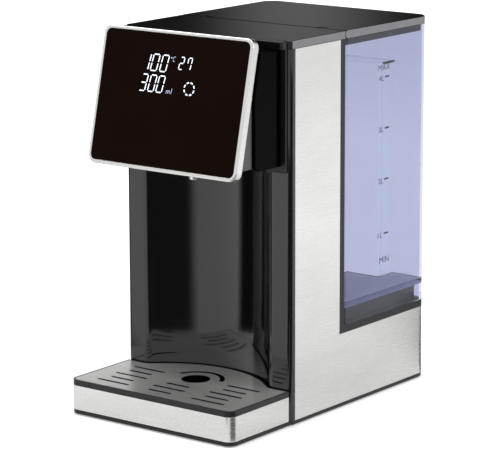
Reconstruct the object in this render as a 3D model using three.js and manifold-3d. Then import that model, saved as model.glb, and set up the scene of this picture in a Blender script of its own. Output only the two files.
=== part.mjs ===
// Instant hot water dispenser: steel-clad body, lift-out rear water tank, tilted touch display,
// concave glossy column and a pull-out drip tray. Millimetres, +Z up, the front faces -Y.

import * as THREE from 'three';
import { mergeVertices } from 'three/addons/utils/BufferGeometryUtils.js';
import Module from 'manifold-3d';

const wasm = await Module();
wasm.setup();

// Overall size. The origin is the centre of the footprint, on the table.
const width = 180;
const depth = 294;
const coverTop = 333;
const glandProud = 2;
const halfWidth = width / 2;
const trayFrontY = -depth / 2;
const rearY = depth / 2 - glandProud;

// How the length is divided into tray, column and tank
const trayReachShare = 0.277551;
const steelRunShare = 0.223469;
const trayReach = depth * trayReachShare;
const steelRun = depth * steelRunShare;
const faceY = trayFrontY + trayReach;

// Clearances and fineness. A cut runs past its solid by the overrun.
const gap = 0.3;
const overrun = 1;
const facet = 0.1;
const weld = 0.00005;

// Body shell: base plate, steel wrap, column moulding and tank cradle
const rearCorner = 13.5;
const columnCorner = 4;
const footDrop = 1.2;
const basePlate = 2.8;
const baseRimHeight = 8;
const baseRimWall = 2;
const baseTop = footDrop + basePlate;
const wrapThickness = 0.8;
const columnReturn = 6.5;
const steelStep = 67;
const steelFrontY = faceY + columnReturn;
const bayWall = 6.2;
const bayFrontY = steelFrontY + steelRun;
const bayRearY = bayFrontY + bayWall;
const coverBand = 6.8;
const coverBottom = coverTop - coverBand;
const shellTop = coverBottom - gap;

// Column recess: a shallow cylinder cut into the front face, with rounded edges
const columnWall = 2.5;
const columnLap = 14;
const recessDepthShare = 0.097279;
const recessEdge = 10;
const recessSide = 18.29;
const recessDepth = depth * recessDepthShare;
const recessHalf = halfWidth - recessSide;
const recessRadius = (recessHalf ** 2 + recessDepth ** 2) / (2 * recessDepth) - recessEdge;
const recessCentreY = faceY + recessDepth - recessRadius;
const columnPortHalf = 34;
const columnPortHeight = 60;
const columnPortDrop = 25.9;
const columnPortHigh = shellTop - columnPortDrop;
const columnPortLow = columnPortHigh - columnPortHeight;

// Drip tray, its steel band and the slotted plate
const traySideSet = 1.2;
const trayHalf = halfWidth - traySideSet;
const trayCorner = 8;
const trayRimTop = 31.5;
const trayRimHeight = 4.8;
const trayRimWidth = 1.6;
const trayWall = 2.2;
const trayFloor = 2.2;
const trayClearance = 1;
const trayBandLift = 0.4;
const bandThickness = 0.8;
const plateThickness = 0.8;
const trayBottom = baseTop + gap;
const trayRimBottom = trayRimTop - trayRimHeight;
const spoutReach = 16.9;
const spoutY = faceY - spoutReach;
const slotWidth = 3.2;
const slotLongShare = 0.388889;
const slotShortShare = 0.277778;
const slotGroupShare = 0.577778;
const slotPitchShare = 0.151961;
const slotLong = halfWidth * slotLongShare;
const slotShort = halfWidth * slotShortShare;
const slotGroupX = halfWidth * slotGroupShare;
const slotPitch = trayReach * slotPitchShare;
const slotRows = 5;
const drainRadius = 12.7;
const arcSlotInner = 21;
const arcSlotOuter = 25.3;
const arcSlotStart = THREE.MathUtils.degToRad(16);

// Top cover with its tongue over the head
const coverWall = 2.2;
const tongueSideSet = 3.4;
const coverTongueHalf = halfWidth - tongueSideSet;
const coverTongueReach = 7.9;

// Tilted display: frame, glass, board and rear shell, measured along the tilted panel
const tilt = THREE.MathUtils.degToRad(13);
const panelFootReach = 64;
const panelFootDrop = 104;
const panelSideSet = 9.7;
const panelFootZ = shellTop - panelFootDrop;
const panelWidth = width - 2 * panelSideSet;
const panelHeight = 119.7;
const panelDepth = 7.5;
const panelCorner = 8.5;
const panelBorder = 3;
const glassThickness = 2;
const glassInset = 0.2;
const glassLedge = 2;
const panelFootY = faceY - panelFootReach;
const boardThickness = 1.6;
const boardMargin = 6;
const ledHeight = 0.6;
const ledLeft = -38;
const ledRight = 28;
const ledTopSet = 17.7;
const ledTall = 40;
const ledHigh = panelHeight - ledTopSet;
const ledLow = ledHigh - ledTall;
const rearPlateProud = 0.6;
const wedgeSideSet = 0.8;
const wedgeRise = 7.6;
const wedgeHalf = panelWidth / 2 - wedgeSideSet;
const wedgeBottom = panelFootZ + wedgeRise;
const wedgeWall = 2;
const cableWindowHalf = 15;
const cableWindowRise = 18.3;
const cableWindowHeight = 15;

// Head housing and the bracket that carries it on the column
const headSideSet = 8;
const headHeight = 99.2;
const headHalf = halfWidth - headSideSet;
const headBottom = shellTop - headHeight;
const cableWindowLow = headBottom + cableWindowRise;
const cableWindowHigh = cableWindowLow + cableWindowHeight;
const panelAhead = 24.6;
const headReach = panelFootReach - panelAhead;
const headWall = 2.5;
const headLowerEdge = 5;
const headSlopeGap = 1;
const bracketThickness = 2.9;
const bracketHalf = coverTongueHalf;
const railDrop = 5.7;
const railWidth = 20.6;
const windowSide = 6;
const bracketBottom = headBottom - railDrop;
const bracketRailInner = bracketHalf - railWidth;
const bracketWindowHalf = bracketRailInner - windowSide;
const bracketWindowMargin = 8;
const shelfDrop = 2.7;
const shelfThickness = 3;
const shelfBottom = headBottom - shelfDrop;
const headFrontY = faceY - headReach;
const bracketRearY = faceY - gap;
const bracketFrontY = bracketRearY - bracketThickness;
const headRearY = bracketFrontY - gap;

// Spout and the outlet chamber above it
const spoutDrop = 18.2;
const spoutTip = headBottom - spoutDrop;
const spoutRadius = 4.5;
const spoutBore = 3;
const spoutCollarRadius = 8;
const spoutCollar = 2.2;
const spoutInsert = 3.5;
const chamberHalf = 17;
const chamberRearSet = 0.7;
const chamberDepth = 2 * (bracketFrontY - chamberRearSet - spoutY);
const chamberHeight = 33;
const chamberWall = 2;
const chamberBottom = headBottom + headWall + gap;
const chamberInletRise = 22.5;

// Hoses and the spigots that they push onto
const hoseRadius = 4.5;
const hoseSides = 8;
const hoseSteps = 20;
const spigotRadius = 2.5;
const hoseBore = spigotRadius + gap;
const spigotBore = 1.7;
const spigotLength = 11;

// Water tank, with a grip recess up its rear wall
const tankWall = 2.5;
const tankFloor = 4.2;
const tankFrontCorner = 3;
const gripSideSet = 40.5;
const gripHalf = halfWidth - gripSideSet;
const gripDepth = 23;
const gripCorner = 3;
const gripDrop = 39;
const gripTop = shellTop - gripDrop;
const tankFrontY = bayRearY + gap;
const bayLength = rearY - tankFrontY;
const cradleFloor = 5.9;
const cradleBottom = steelStep + gap;
const cradleFloorTop = cradleBottom + cradleFloor;
const tankBottom = cradleFloorTop + gap;
const tankTop = shellTop;
const lidFrontY = tankFrontY + gap;

// Tank lid
const lidPlate = 2.2;
const lidBandWall = 2.2;
const lidSkirtDepth = 6.5;
const lidSkirtWall = 1.5;
const lidSkirtPlay = 1.9;
const lidNotchHalf = 16;
const lidNotchHeight = 3;
const lidEdge = coverBand / 2;
const lidHingeSet = 28;
const lidHingeX = halfWidth - lidHingeSet;
const lidKnuckleHalf = 5;
const lidPinRadius = 1.2;
const lidPinHalf = 14;
const lidPivotY = lidFrontY + lidEdge;
const lidPivotZ = coverTop - lidEdge;

// Plateau of the cradle under the tank, and the outlet valve with its port
const plateauSideSet = 8;
const plateauHalf = halfWidth - plateauSideSet;
const plateauRise = 14.8;
const plateauTop = cradleFloorTop + plateauRise;
const tankFloorRise = 4.5;
const tankFloorTop = plateauTop + tankFloorRise;
const plateauWall = 2.5;
const plateauFrontSet = 8;
const plateauRearSet = 8;
const plateauEarPlay = 4;
const plateauEarSet = 9;
const valveAcrossShare = -0.333333;
const valveAlongShare = 0.354594;
const valveX = halfWidth * valveAcrossShare;
const valveY = tankFrontY + bayLength * valveAlongShare;
const portWall = 2.2;
const portDepth = 12;
const portOutletX = 5;
const portPinRadius = 1.5;
const portPinHeight = 7.2;
const valveNeck = 8.7;
const valveHole = valveNeck + gap;
const valveSpigot = 8;
const portPlay = 1.6;
const portRadius = valveSpigot + portPlay;
const valveDip = 6;
const valveBottom = plateauTop - valveDip;
const valveSeat = 2.5;
const valveSeatHole = 3.5;
const valveBore = 6;
const valveFlange = 12;
const valveFlangeHeight = 2;
const valveLift = 2.5;
const plungerRadius = 5;
const plungerDisc = 2.5;
const plungerStem = 2;
const plungerGuide = 1.5;
const strainerHeight = 5.9;
const strainerWall = 1.5;
const strainerSlots = 6;
const strainerSlotWidth = 1.5;
const springRadius = 3.5;
const springWire = 0.4;
const springTurns = 5;
const springSides = 5;
const springStepsPerTurn = 8;
const sealSection = 0.45;
const sealRise = 3;

// Pump, flow meter and their rotors, in the bay under the tank
const pumpAcrossShare = 0.5;
const pumpAlongShare = 0.202733;
const pumpX = halfWidth * pumpAcrossShare;
const pumpZ = 30;
const pumpFrontY = tankFrontY + bayLength * pumpAlongShare;
const pumpRadius = 18;
const pumpLength = 16;
const pumpWall = 2.5;
const pumpOutletRise = 11;
const motorRadius = 14;
const motorFlange = 2;
const motorLengthShare = 0.288535;
const motorLength = bayLength * motorLengthShare;
const motorBore = 1.8;
const motorBoreDepth = 22;
const impellerRadius = 13;
const impellerHub = 4;
const impellerDisc = 2;
const impellerFrontSet = 5;
const impellerLength = 9;
const impellerBlades = 6;
const bladeThickness = 1.2;
const rotorShaft = 1.5;
const rotorShaftLength = 18;
const mountHalf = 12;
const mountLengthShare = 0.212604;
const mountLength = bayLength * mountLengthShare;
const mountSet = 6;
const meterAcrossShare = -0.555556;
const meterAlongShare = 0.620349;
const meterX = halfWidth * meterAcrossShare;
const meterY = tankFrontY + bayLength * meterAlongShare;
const meterRadius = 15;
const meterBottom = 22;
const meterHeight = 12;
const meterWall = 2.5;
const meterFoot = 6;
const meterCap = 2;
const meterPortRise = 7;
const meterRotorPlay = 1.5;
const meterRotorRadius = meterRadius - meterWall - meterRotorPlay;
const meterRotorHub = 3;
const meterRotorHeight = 7;
const meterAxle = 1;
const meterAxleEnd = 1.4;
const meterBearing = 1.3;

// Heater with its caps, clamp and cut-out, and the power board, in front of the tank bay
const heaterAcrossShare = -0.533333;
const heaterSetShare = 0.407915;
const heaterRadiusShare = 0.228311;
const heaterX = halfWidth * heaterAcrossShare;
const heaterY = bayFrontY - steelRun * heaterSetShare;
const heaterRadius = steelRun * heaterRadiusShare;
const heaterWall = 2.5;
const heaterBore = heaterRadius - heaterWall;
const heaterLow = 110;
const heaterDrop = 85.9;
const heaterHigh = shellTop - heaterDrop;
const heaterLength = heaterHigh - heaterLow;
const heaterCap = 3;
const heaterPlug = 4;
const clampWall = 2.7;
const clampHalf = 10;
const clampLowShare = 0.423077;
const clampLow = heaterLow + heaterLength * clampLowShare;
const clampHeight = 20;
const cutoutRadius = 7;
const cutoutDepth = 4.5;
const cutoutShare = 0.807692;
const cutoutZ = heaterLow + heaterLength * cutoutShare;
const powerLeftShare = 0.133333;
const powerSideSet = 8;
const powerLeft = halfWidth * powerLeftShare;
const powerRight = halfWidth - powerSideSet;
const powerLow = 110;
const powerDrop = 75.9;
const powerHigh = shellTop - powerDrop;
const powerThickness = 1.6;
const powerPost = 3.5;
const powerPostLength = 8.5;
const powerPostInset = 6;

// Feet, screws and the cord gland
const footRadius = 8;
const footPocket = 1;
const footSideSet = 20;
const footEndSet = 22;
const footX = halfWidth - footSideSet;
const footY = depth / 2 - footEndSet;
const postRadius = 4.5;
const postBore = 1.7;
const postBoreDepth = 15;
const postX = footX;
const postFrontSet = 17;
const postFootSet = 15;
const screwHead = 3.2;
const screwHeadHeight = 1.5;
const screwShank = 1.3;
const screwLength = 14;
const screwPlay = 0.4;
const glandSideSet = 30;
const glandX = glandSideSet - halfWidth;
const glandZ = 30;
const glandBore = 4;
const glandNeck = 6.7;
const glandFlange = 11;
const glandInnerFlange = 10;
const glandInnerDepth = 3.6;

// Finishes
function finish(color, roughness, metalness, opacity = 1) {
  return new THREE.MeshStandardMaterial({ color, roughness, metalness, opacity, transparent: opacity < 1 });
}
const brushedSteel = finish(0xc9c9c7, 0.35, 1);
const glossBlack = finish(0x0a0a0b, 0.12, 0);
const satinBlack = finish(0x1b1b1c, 0.45, 0);
const coverGrey = finish(0x3c3c3d, 0.4, 0);
const cradleGrey = finish(0x45464a, 0.5, 0);
const shellGrey = finish(0x6c6c6c, 0.4, 0);
const brightFrame = finish(0xe6e6e4, 0.2, 0.8);
const darkGlass = finish(0x140b09, 0.06, 0);
const tankBlue = finish(0xb8bcdc, 0.15, 0, 0.5);
const rubberGrey = finish(0x2a2a2a, 0.8, 0);
const whiteAbs = finish(0xdedede, 0.5, 0);
const boardGreen = finish(0x1f5a34, 0.6, 0);
const silicone = finish(0xd8d4cc, 0.6, 0, 0.8);
const zincSteel = finish(0xa9a9a6, 0.4, 1);

const dispenser = new THREE.Group();

// Solids from geometries, and back
function toSolid(geometry) {
  const bare = geometry.clone();
  bare.deleteAttribute('normal');
  bare.deleteAttribute('uv');
  const merged = mergeVertices(bare, weld);
  const index = merged.index.array;
  const triVerts = [];
  for (let i = 0; i < index.length; i += 3) {
    const [a, b, c] = index.slice(i, i + 3);
    if (a !== b && b !== c && c !== a) triVerts.push(a, b, c);
  }
  const vertProperties = new Float32Array(merged.attributes.position.array);
  const data = { numProp: 3, vertProperties, triVerts: new Uint32Array(triVerts) };
  return new wasm.Manifold(new wasm.Mesh(data));
}

function toGeometry(solid) {
  const mesh = solid.getMesh();
  const geometry = new THREE.BufferGeometry();
  geometry.setAttribute('position', new THREE.BufferAttribute(mesh.vertProperties, 3));
  geometry.setIndex(new THREE.BufferAttribute(mesh.triVerts, 1));
  geometry.computeVertexNormals();
  return geometry;
}

function join(...solids) {
  return solids.reduce((whole, piece) => whole.add(piece));
}

function cut(solid, ...tools) {
  return tools.reduce((rest, tool) => rest.subtract(tool), solid);
}

function addPiece(name, solid, material, parent = dispenser) {
  const mesh = new THREE.Mesh(toGeometry(solid), material);
  mesh.name = name;
  parent.add(mesh);
  return mesh;
}

// Steps that keep an arc within the facet tolerance
function arcSteps(radius, angle) {
  const step = 2 * Math.acos(1 - Math.min(facet / radius, 0.3));
  return Math.max(2, Math.ceil(Math.abs(angle) / step));
}

function arcPoints(x, y, radius, start, end) {
  const steps = arcSteps(radius, end - start);
  return Array.from({ length: steps + 1 }, (_, i) => {
    const angle = start + (end - start) * i / steps;
    return [x + radius * Math.cos(angle), y + radius * Math.sin(angle)];
  });
}

// Outline through the corners [x, y, radius], each rounded by its radius
function rounded(corners) {
  return corners.flatMap(([x, y, radius = 0], i) => {
    if (radius <= 0) return [[x, y]];
    const corner = new THREE.Vector2(x, y);
    const before = new THREE.Vector2(...corners.at(i - 1).slice(0, 2)).sub(corner).normalize();
    const after = new THREE.Vector2(...corners[(i + 1) % corners.length].slice(0, 2));
    after.sub(corner).normalize();
    const half = Math.acos(before.dot(after)) / 2;
    const centre = before.clone().add(after).setLength(radius / Math.sin(half)).add(corner);
    const reach = radius / Math.tan(half);
    const from = before.clone().multiplyScalar(reach).add(corner).sub(centre).angle();
    const to = after.clone().multiplyScalar(reach).add(corner).sub(centre).angle();
    const turn = Math.atan2(Math.sin(to - from), Math.cos(to - from));
    return arcPoints(centre.x, centre.y, radius, from, from + turn);
  });
}

function roundedBox(left, front, right, back, radius) {
  const corners = [[left, front], [right, front], [right, back], [left, back]];
  return rounded(corners.map((corner) => [...corner, radius]));
}

function toShape(points, holes = []) {
  const shape = new THREE.Shape(points.map(([x, y]) => new THREE.Vector2(x, y)));
  shape.holes = holes.map((hole) => new THREE.Path(hole.map(([x, y]) => new THREE.Vector2(x, y))));
  return shape;
}

// Prisms: an outline in XY, XZ or YZ, swept along the remaining axis
function sweep(shape, length) {
  return new THREE.ExtrudeGeometry(shape, { depth: length, bevelEnabled: false });
}

function prismZ(points, low, high, holes) {
  return toSolid(sweep(toShape(points, holes), high - low).translate(0, 0, low));
}

const alongY = new THREE.Matrix4().makeRotationX(Math.PI / 2);
const alongX = new THREE.Matrix4().makeBasis(
  new THREE.Vector3(0, 1, 0), new THREE.Vector3(0, 0, 1), new THREE.Vector3(1, 0, 0));

function prismY(points, front, back) {
  return toSolid(sweep(toShape(points), back - front).applyMatrix4(alongY).translate(0, back, 0));
}

function prismX(points, left, right) {
  return toSolid(sweep(toShape(points), right - left).applyMatrix4(alongX).translate(left, 0, 0));
}

function boxBetween([left, front, low], [right, back, high]) {
  return prismZ([[left, front], [right, front], [right, back], [left, back]], low, high);
}

function rodZ(x, y, radius, low, high) {
  return prismZ(arcPoints(x, y, radius, 0, 2 * Math.PI).slice(1), low, high);
}

function rodY(x, z, radius, front, back) {
  return prismY(arcPoints(x, z, radius, 0, 2 * Math.PI).slice(1), front, back);
}

function rodX(y, z, radius, left, right) {
  return prismX(arcPoints(y, z, radius, 0, 2 * Math.PI).slice(1), left, right);
}

// Outline of the body, and of a U that follows its sides and rear
function bodyOutline(inset) {
  const half = halfWidth - inset;
  return rounded([
    [-half, faceY + inset, columnCorner - inset], [half, faceY + inset, columnCorner - inset],
    [half, rearY - inset, rearCorner - inset], [-half, rearY - inset, rearCorner - inset]]);
}

function sideAndRearOutline(inset, wall, frontY) {
  const outer = halfWidth - inset;
  const inner = outer - wall;
  const back = rearY - inset;
  const radius = rearCorner - inset;
  return rounded([
    [-outer, frontY], [-inner, frontY], [-inner, back - wall, radius - wall],
    [inner, back - wall, radius - wall], [inner, frontY], [outer, frontY],
    [outer, back, radius], [-outer, back, radius]]);
}

// Line of the recessed column face from left to right, moved back by the offset
function recessLine(offset) {
  const edgeX = Math.sqrt((recessRadius + recessEdge) ** 2 - (faceY + recessEdge - recessCentreY) ** 2);
  const lean = Math.atan2(faceY + recessEdge - recessCentreY, edgeX);
  const edgeY = faceY + recessEdge;
  const right = -Math.PI / 2;
  return [
    ...arcPoints(-edgeX, edgeY, recessEdge - offset, right, -lean),
    ...arcPoints(0, recessCentreY, recessRadius + offset, Math.PI - lean, lean).slice(1, -1),
    ...arcPoints(edgeX, edgeY, recessEdge - offset, lean - Math.PI, right)];
}

// Outline of the drip tray, drawn in by the inset all round
function trayOutline(inset) {
  const half = trayHalf - inset;
  const back = faceY - trayClearance - inset;
  return rounded([
    [-half, trayFrontY + inset, Math.max(trayCorner - inset, 0)],
    [half, trayFrontY + inset, Math.max(trayCorner - inset, 0)],
    [half, back], ...recessLine(-trayClearance - inset).reverse(), [-half, back]]);
}

// Outline of the tank, with or without its grip recess, drawn in by the inset
function tankOutline(inset, withGrip) {
  const half = halfWidth - inset;
  const grip = gripHalf + inset;
  const back = rearY - inset;
  const inner = back - gripDepth;
  const recess = [[grip, back], [grip, inner], [-grip, inner], [-grip, back]]
    .map((corner) => [...corner, gripCorner]);
  return rounded([
    [-half, tankFrontY + inset, tankFrontCorner - inset], [half, tankFrontY + inset, tankFrontCorner - inset],
    [half, back, rearCorner - inset], ...(withGrip ? recess : []), [-half, back, rearCorner - inset]]);
}

// Four places, mirrored left to right, at a front and a rear distance
function fourPlaces(x, front, back) {
  return [
    ['front_left', -x, front], ['front_right', x, front],
    ['rear_left', -x, back], ['rear_right', x, back]];
}

const postPlaces = fourPlaces(postX, tankFrontY + postFrontSet, footY - postFootSet);
const footPlaces = fourPlaces(footX, -footY, footY);

function addBase() {
  const trayFoot = rounded([
    [-trayHalf, trayFrontY, trayCorner], [trayHalf, trayFrontY, trayCorner],
    [trayHalf, faceY + columnReturn], [-trayHalf, faceY + columnReturn]]);
  const rimInset = wrapThickness + gap;
  const rimFrontY = steelFrontY + columnLap + gap;
  const rimOutline = sideAndRearOutline(rimInset, baseRimWall, rimFrontY);
  const rim = prismZ(rimOutline, baseTop - overrun, baseTop + baseRimHeight);
  const pan = join(prismZ(bodyOutline(0), footDrop, baseTop), prismZ(trayFoot, footDrop, baseTop), rim);
  const pockets = footPlaces.map(([, x, y]) =>
    rodZ(x, y, footRadius + gap, footDrop - overrun, footDrop + footPocket + gap));
  const screwHoles = postPlaces.flatMap(([, x, y]) => [
    rodZ(x, y, screwShank + screwPlay, footDrop - overrun, baseTop + overrun),
    rodZ(x, y, screwHead + screwPlay, footDrop - overrun, footDrop + screwHeadHeight + gap)]);
  addPiece('base_pan', cut(pan, ...pockets, ...screwHoles), satinBlack);
  for (const [place, x, y] of footPlaces) {
    addPiece(`foot_${place}`, rodZ(x, y, footRadius, 0, footDrop + footPocket), rubberGrey);
  }
  for (const [place, x, y] of postPlaces) {
    const head = rodZ(x, y, screwHead, footDrop, footDrop + screwHeadHeight);
    const shank = rodZ(x, y, screwShank, footDrop + overrun, footDrop + screwLength);
    addPiece(`base_screw_${place}`, join(head, shank), zincSteel);
  }
}

function addSteelWrap() {
  const sheet = prismZ(sideAndRearOutline(0, wrapThickness, steelFrontY), baseTop + gap, shellTop);
  const tankBay = boxBetween(
    [-halfWidth - overrun, bayFrontY - gap, steelStep],
    [halfWidth + overrun, rearY + overrun, shellTop + overrun]);
  const glandHole = rodY(glandX, glandZ, glandNeck + gap, rearY - rearCorner, rearY + overrun);
  addPiece('steel_wrap', cut(sheet, tankBay, glandHole), brushedSteel);
}

function addColumn() {
  const inside = halfWidth - wrapThickness - gap;
  const inner = inside - columnWall;
  const returnY = steelFrontY - gap;
  const lapY = steelFrontY + columnLap;
  const outline = rounded([
    [-halfWidth, faceY, columnCorner], ...recessLine(0), [halfWidth, faceY, columnCorner],
    [halfWidth, returnY], [inside, returnY], [inside, lapY], [inner, lapY], [inner, faceY + columnWall],
    ...recessLine(columnWall).reverse(), [-inner, faceY + columnWall], [-inner, lapY], [-inside, lapY],
    [-inside, returnY], [-halfWidth, returnY]]);
  const column = prismZ(outline, baseTop + gap, shellTop);
  const port = boxBetween(
    [-columnPortHalf, faceY - overrun, columnPortLow], [columnPortHalf, bayFrontY - gap, columnPortHigh]);
  addPiece('column_front', cut(column, port), glossBlack);
}

function addCradle() {
  const floor = prismZ(rounded([
    [-halfWidth, bayFrontY], [halfWidth, bayFrontY], [halfWidth, rearY, rearCorner],
    [-halfWidth, rearY, rearCorner]]), cradleBottom, cradleFloorTop);
  const wall = boxBetween([-halfWidth, bayFrontY, cradleBottom], [halfWidth, bayRearY, shellTop]);
  const plateauFront = tankFrontY + plateauFrontSet;
  const plateauBack = rearY - gripDepth - plateauRearSet;
  const plateau = boxBetween(
    [-plateauHalf, plateauFront, cradleBottom], [plateauHalf, plateauBack, plateauTop]);
  const hollow = boxBetween(
    [-plateauHalf + plateauWall, plateauFront + plateauWall, cradleBottom - overrun],
    [plateauHalf - plateauWall, plateauBack - plateauWall, plateauTop - plateauWall]);
  const earInner = gripHalf + tankWall + plateauEarPlay;
  const earBack = rearY - plateauEarSet;
  const ears = [-1, 1].map((side) => boxBetween(
    [Math.min(side * earInner, side * plateauHalf), plateauBack - plateauWall, cradleBottom],
    [Math.max(side * earInner, side * plateauHalf), earBack, plateauTop]));
  const earLow = earInner + plateauWall;
  const earHigh = plateauHalf - plateauWall;
  const earHollows = [-1, 1].map((side) => boxBetween(
    [Math.min(side * earLow, side * earHigh), plateauBack - 2 * plateauWall, cradleBottom - overrun],
    [Math.max(side * earLow, side * earHigh), earBack - plateauWall, plateauTop - plateauWall]));
  const portBottom = plateauTop - portDepth;
  const portCup = rodZ(valveX, valveY, portRadius + portWall, portBottom - portWall, plateauTop);
  const portHollow = rodZ(valveX, valveY, portRadius, portBottom, plateauTop + overrun);
  const pin = rodZ(valveX, valveY, portPinRadius, portBottom - overrun, portBottom + portPinHeight);
  const outletX = valveX + portOutletX;
  const outletTip = portBottom - portWall - spigotLength;
  const outlet = rodZ(outletX, valveY, spigotRadius, outletTip, portBottom - overrun);
  const outletBore = rodZ(outletX, valveY, spigotBore, outletTip - overrun, portBottom + overrun);
  const posts = postPlaces.map(([, x, y]) => cut(
    rodZ(x, y, postRadius, baseTop + gap, plateauTop - overrun),
    rodZ(x, y, postBore, baseTop, baseTop + postBoreDepth)));
  const raised = cut(join(floor, wall, plateau, ...ears), hollow, ...earHollows);
  const shell = join(raised, portCup, outlet, ...posts);
  addPiece('tank_cradle', cut(join(cut(shell, portHollow), pin), outletBore), cradleGrey);
}

function addTopCover() {
  const outlineAt = (inset) => {
    const half = halfWidth - inset;
    const main = rounded([
      [-half, faceY + inset, columnCorner - inset], [half, faceY + inset, columnCorner - inset],
      [half, bayRearY - inset], [-half, bayRearY - inset]]);
    const tongueHalf = coverTongueHalf - inset;
    const tongueFront = faceY - coverTongueReach + inset;
    return [main, roundedBox(-tongueHalf, tongueFront, tongueHalf, bayFrontY, 0)];
  };
  const outer = outlineAt(0).map((points) => prismZ(points, coverBottom, coverTop));
  const inner = outlineAt(coverWall).map((points) =>
    prismZ(points, coverBottom - overrun, coverTop - coverWall));
  addPiece('top_cover', cut(join(...outer), join(...inner)), coverGrey);
}

// Places on the tilted panel: world Y of a plane behind it, and world points in panel axes
function planeBehindPanel(z, distance) {
  return panelFootY + (panelDepth + distance + (z - panelFootZ) * Math.sin(tilt)) / Math.cos(tilt);
}

function heightBehindPanel(y, distance) {
  return panelFootZ + ((y - panelFootY) * Math.cos(tilt) - panelDepth - distance) / Math.sin(tilt);
}

function toPanelAxes([y, z]) {
  const across = (y - panelFootY) * Math.cos(tilt) - (z - panelFootZ) * Math.sin(tilt);
  const along = (y - panelFootY) * Math.sin(tilt) + (z - panelFootZ) * Math.cos(tilt);
  return [across, along];
}

function panelOutline(inset, radius) {
  const half = panelWidth / 2 - inset;
  return roundedBox(-half, inset, half, panelHeight - inset, radius);
}

function addHead() {
  const profile = (inset, rear) => rounded([
    [rear, headBottom + inset], [headFrontY + inset, headBottom + inset, Math.max(headLowerEdge - inset, 0)],
    [headFrontY + inset, heightBehindPanel(headFrontY + inset, headSlopeGap + inset)],
    [planeBehindPanel(shellTop - inset, headSlopeGap + inset), shellTop - inset], [rear, shellTop - inset]]);
  const outer = prismX(profile(0, headRearY), -headHalf, headHalf);
  const inner = prismX(profile(headWall, headRearY + overrun), -headHalf + headWall, headHalf - headWall);
  const spoutHole = rodZ(0, spoutY, spoutRadius + gap, headBottom - overrun, headBottom + headWall + overrun);
  const cableWindow = boxBetween(
    [-cableWindowHalf, headFrontY - overrun, cableWindowLow],
    [cableWindowHalf, headFrontY + headWall + overrun, cableWindowHigh]);
  addPiece('head_shell', cut(outer, inner, spoutHole, cableWindow), glossBlack);

  const plate = prismY([
    [-bracketHalf, bracketBottom], [-bracketRailInner, bracketBottom], [-bracketRailInner, shelfBottom],
    [bracketRailInner, shelfBottom], [bracketRailInner, bracketBottom], [bracketHalf, bracketBottom],
    [bracketHalf, shellTop], [-bracketHalf, shellTop]], bracketFrontY, bracketRearY);
  const window = boxBetween(
    [-bracketWindowHalf, bracketFrontY - overrun, headBottom + bracketWindowMargin],
    [bracketWindowHalf, bracketRearY + overrun, shellTop - bracketWindowMargin]);
  const line = recessLine(-gap);
  const shelf = prismZ([
    [line[0][0], bracketFrontY], ...line, [line.at(-1)[0], bracketFrontY]],
  shelfBottom, shelfBottom + shelfThickness);
  addPiece('head_bracket', join(cut(plate, window), shelf), satinBlack);
}

function addDisplay() {
  const display = new THREE.Group();
  display.position.set(0, panelFootY, panelFootZ);
  display.rotation.x = -tilt;
  dispenser.add(display);

  const ledge = panelBorder + glassLedge;
  const pocketDepth = glassInset + glassThickness + gap;
  const pocket = prismY(panelOutline(panelBorder, panelCorner - panelBorder), -overrun, pocketDepth);
  const opening = prismY(panelOutline(ledge, panelCorner - ledge), 0, panelDepth + overrun);
  const frame = prismY(panelOutline(0, panelCorner), 0, panelDepth);
  addPiece('display_frame', cut(frame, pocket, opening), brightFrame, display);

  const glassEdge = panelBorder + gap;
  const glassOutline = panelOutline(glassEdge, panelCorner - glassEdge);
  const glass = prismY(glassOutline, glassInset, glassInset + glassThickness);
  addPiece('display_glass', glass, darkGlass, display);

  const boardFrontY = pocketDepth + ledHeight;
  const board = prismY(panelOutline(ledge + boardMargin, 0), boardFrontY, boardFrontY + boardThickness);
  const leds = boxBetween([ledLeft, pocketDepth, ledLow], [ledRight, boardFrontY + ledHeight, ledHigh]);
  addPiece('display_board', join(board, leds), boardGreen, display);

  const plateFrontY = boardFrontY + boardThickness + gap;
  const plateEdge = ledge + gap;
  const plateOutline = panelOutline(plateEdge, panelCorner - plateEdge);
  const plate = prismY(plateOutline, plateFrontY, panelDepth + rearPlateProud);
  const wedgeProfile = (inset, wall, rear) => [
    [planeBehindPanel(wedgeBottom + inset, wall), wedgeBottom + inset],
    [rear, wedgeBottom + inset],
    [rear, heightBehindPanel(rear, wall)]].map(toPanelAxes);
  const wedgeRear = headFrontY - gap;
  const wedge = prismX(wedgeProfile(0, gap, wedgeRear), -wedgeHalf, wedgeHalf);
  const inside = wedgeHalf - wedgeWall;
  const hollow = prismX(wedgeProfile(wedgeWall, wedgeWall, wedgeRear + overrun), -inside, inside);
  addPiece('display_rear_shell', cut(join(plate, wedge), hollow), shellGrey, display);
}

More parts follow.
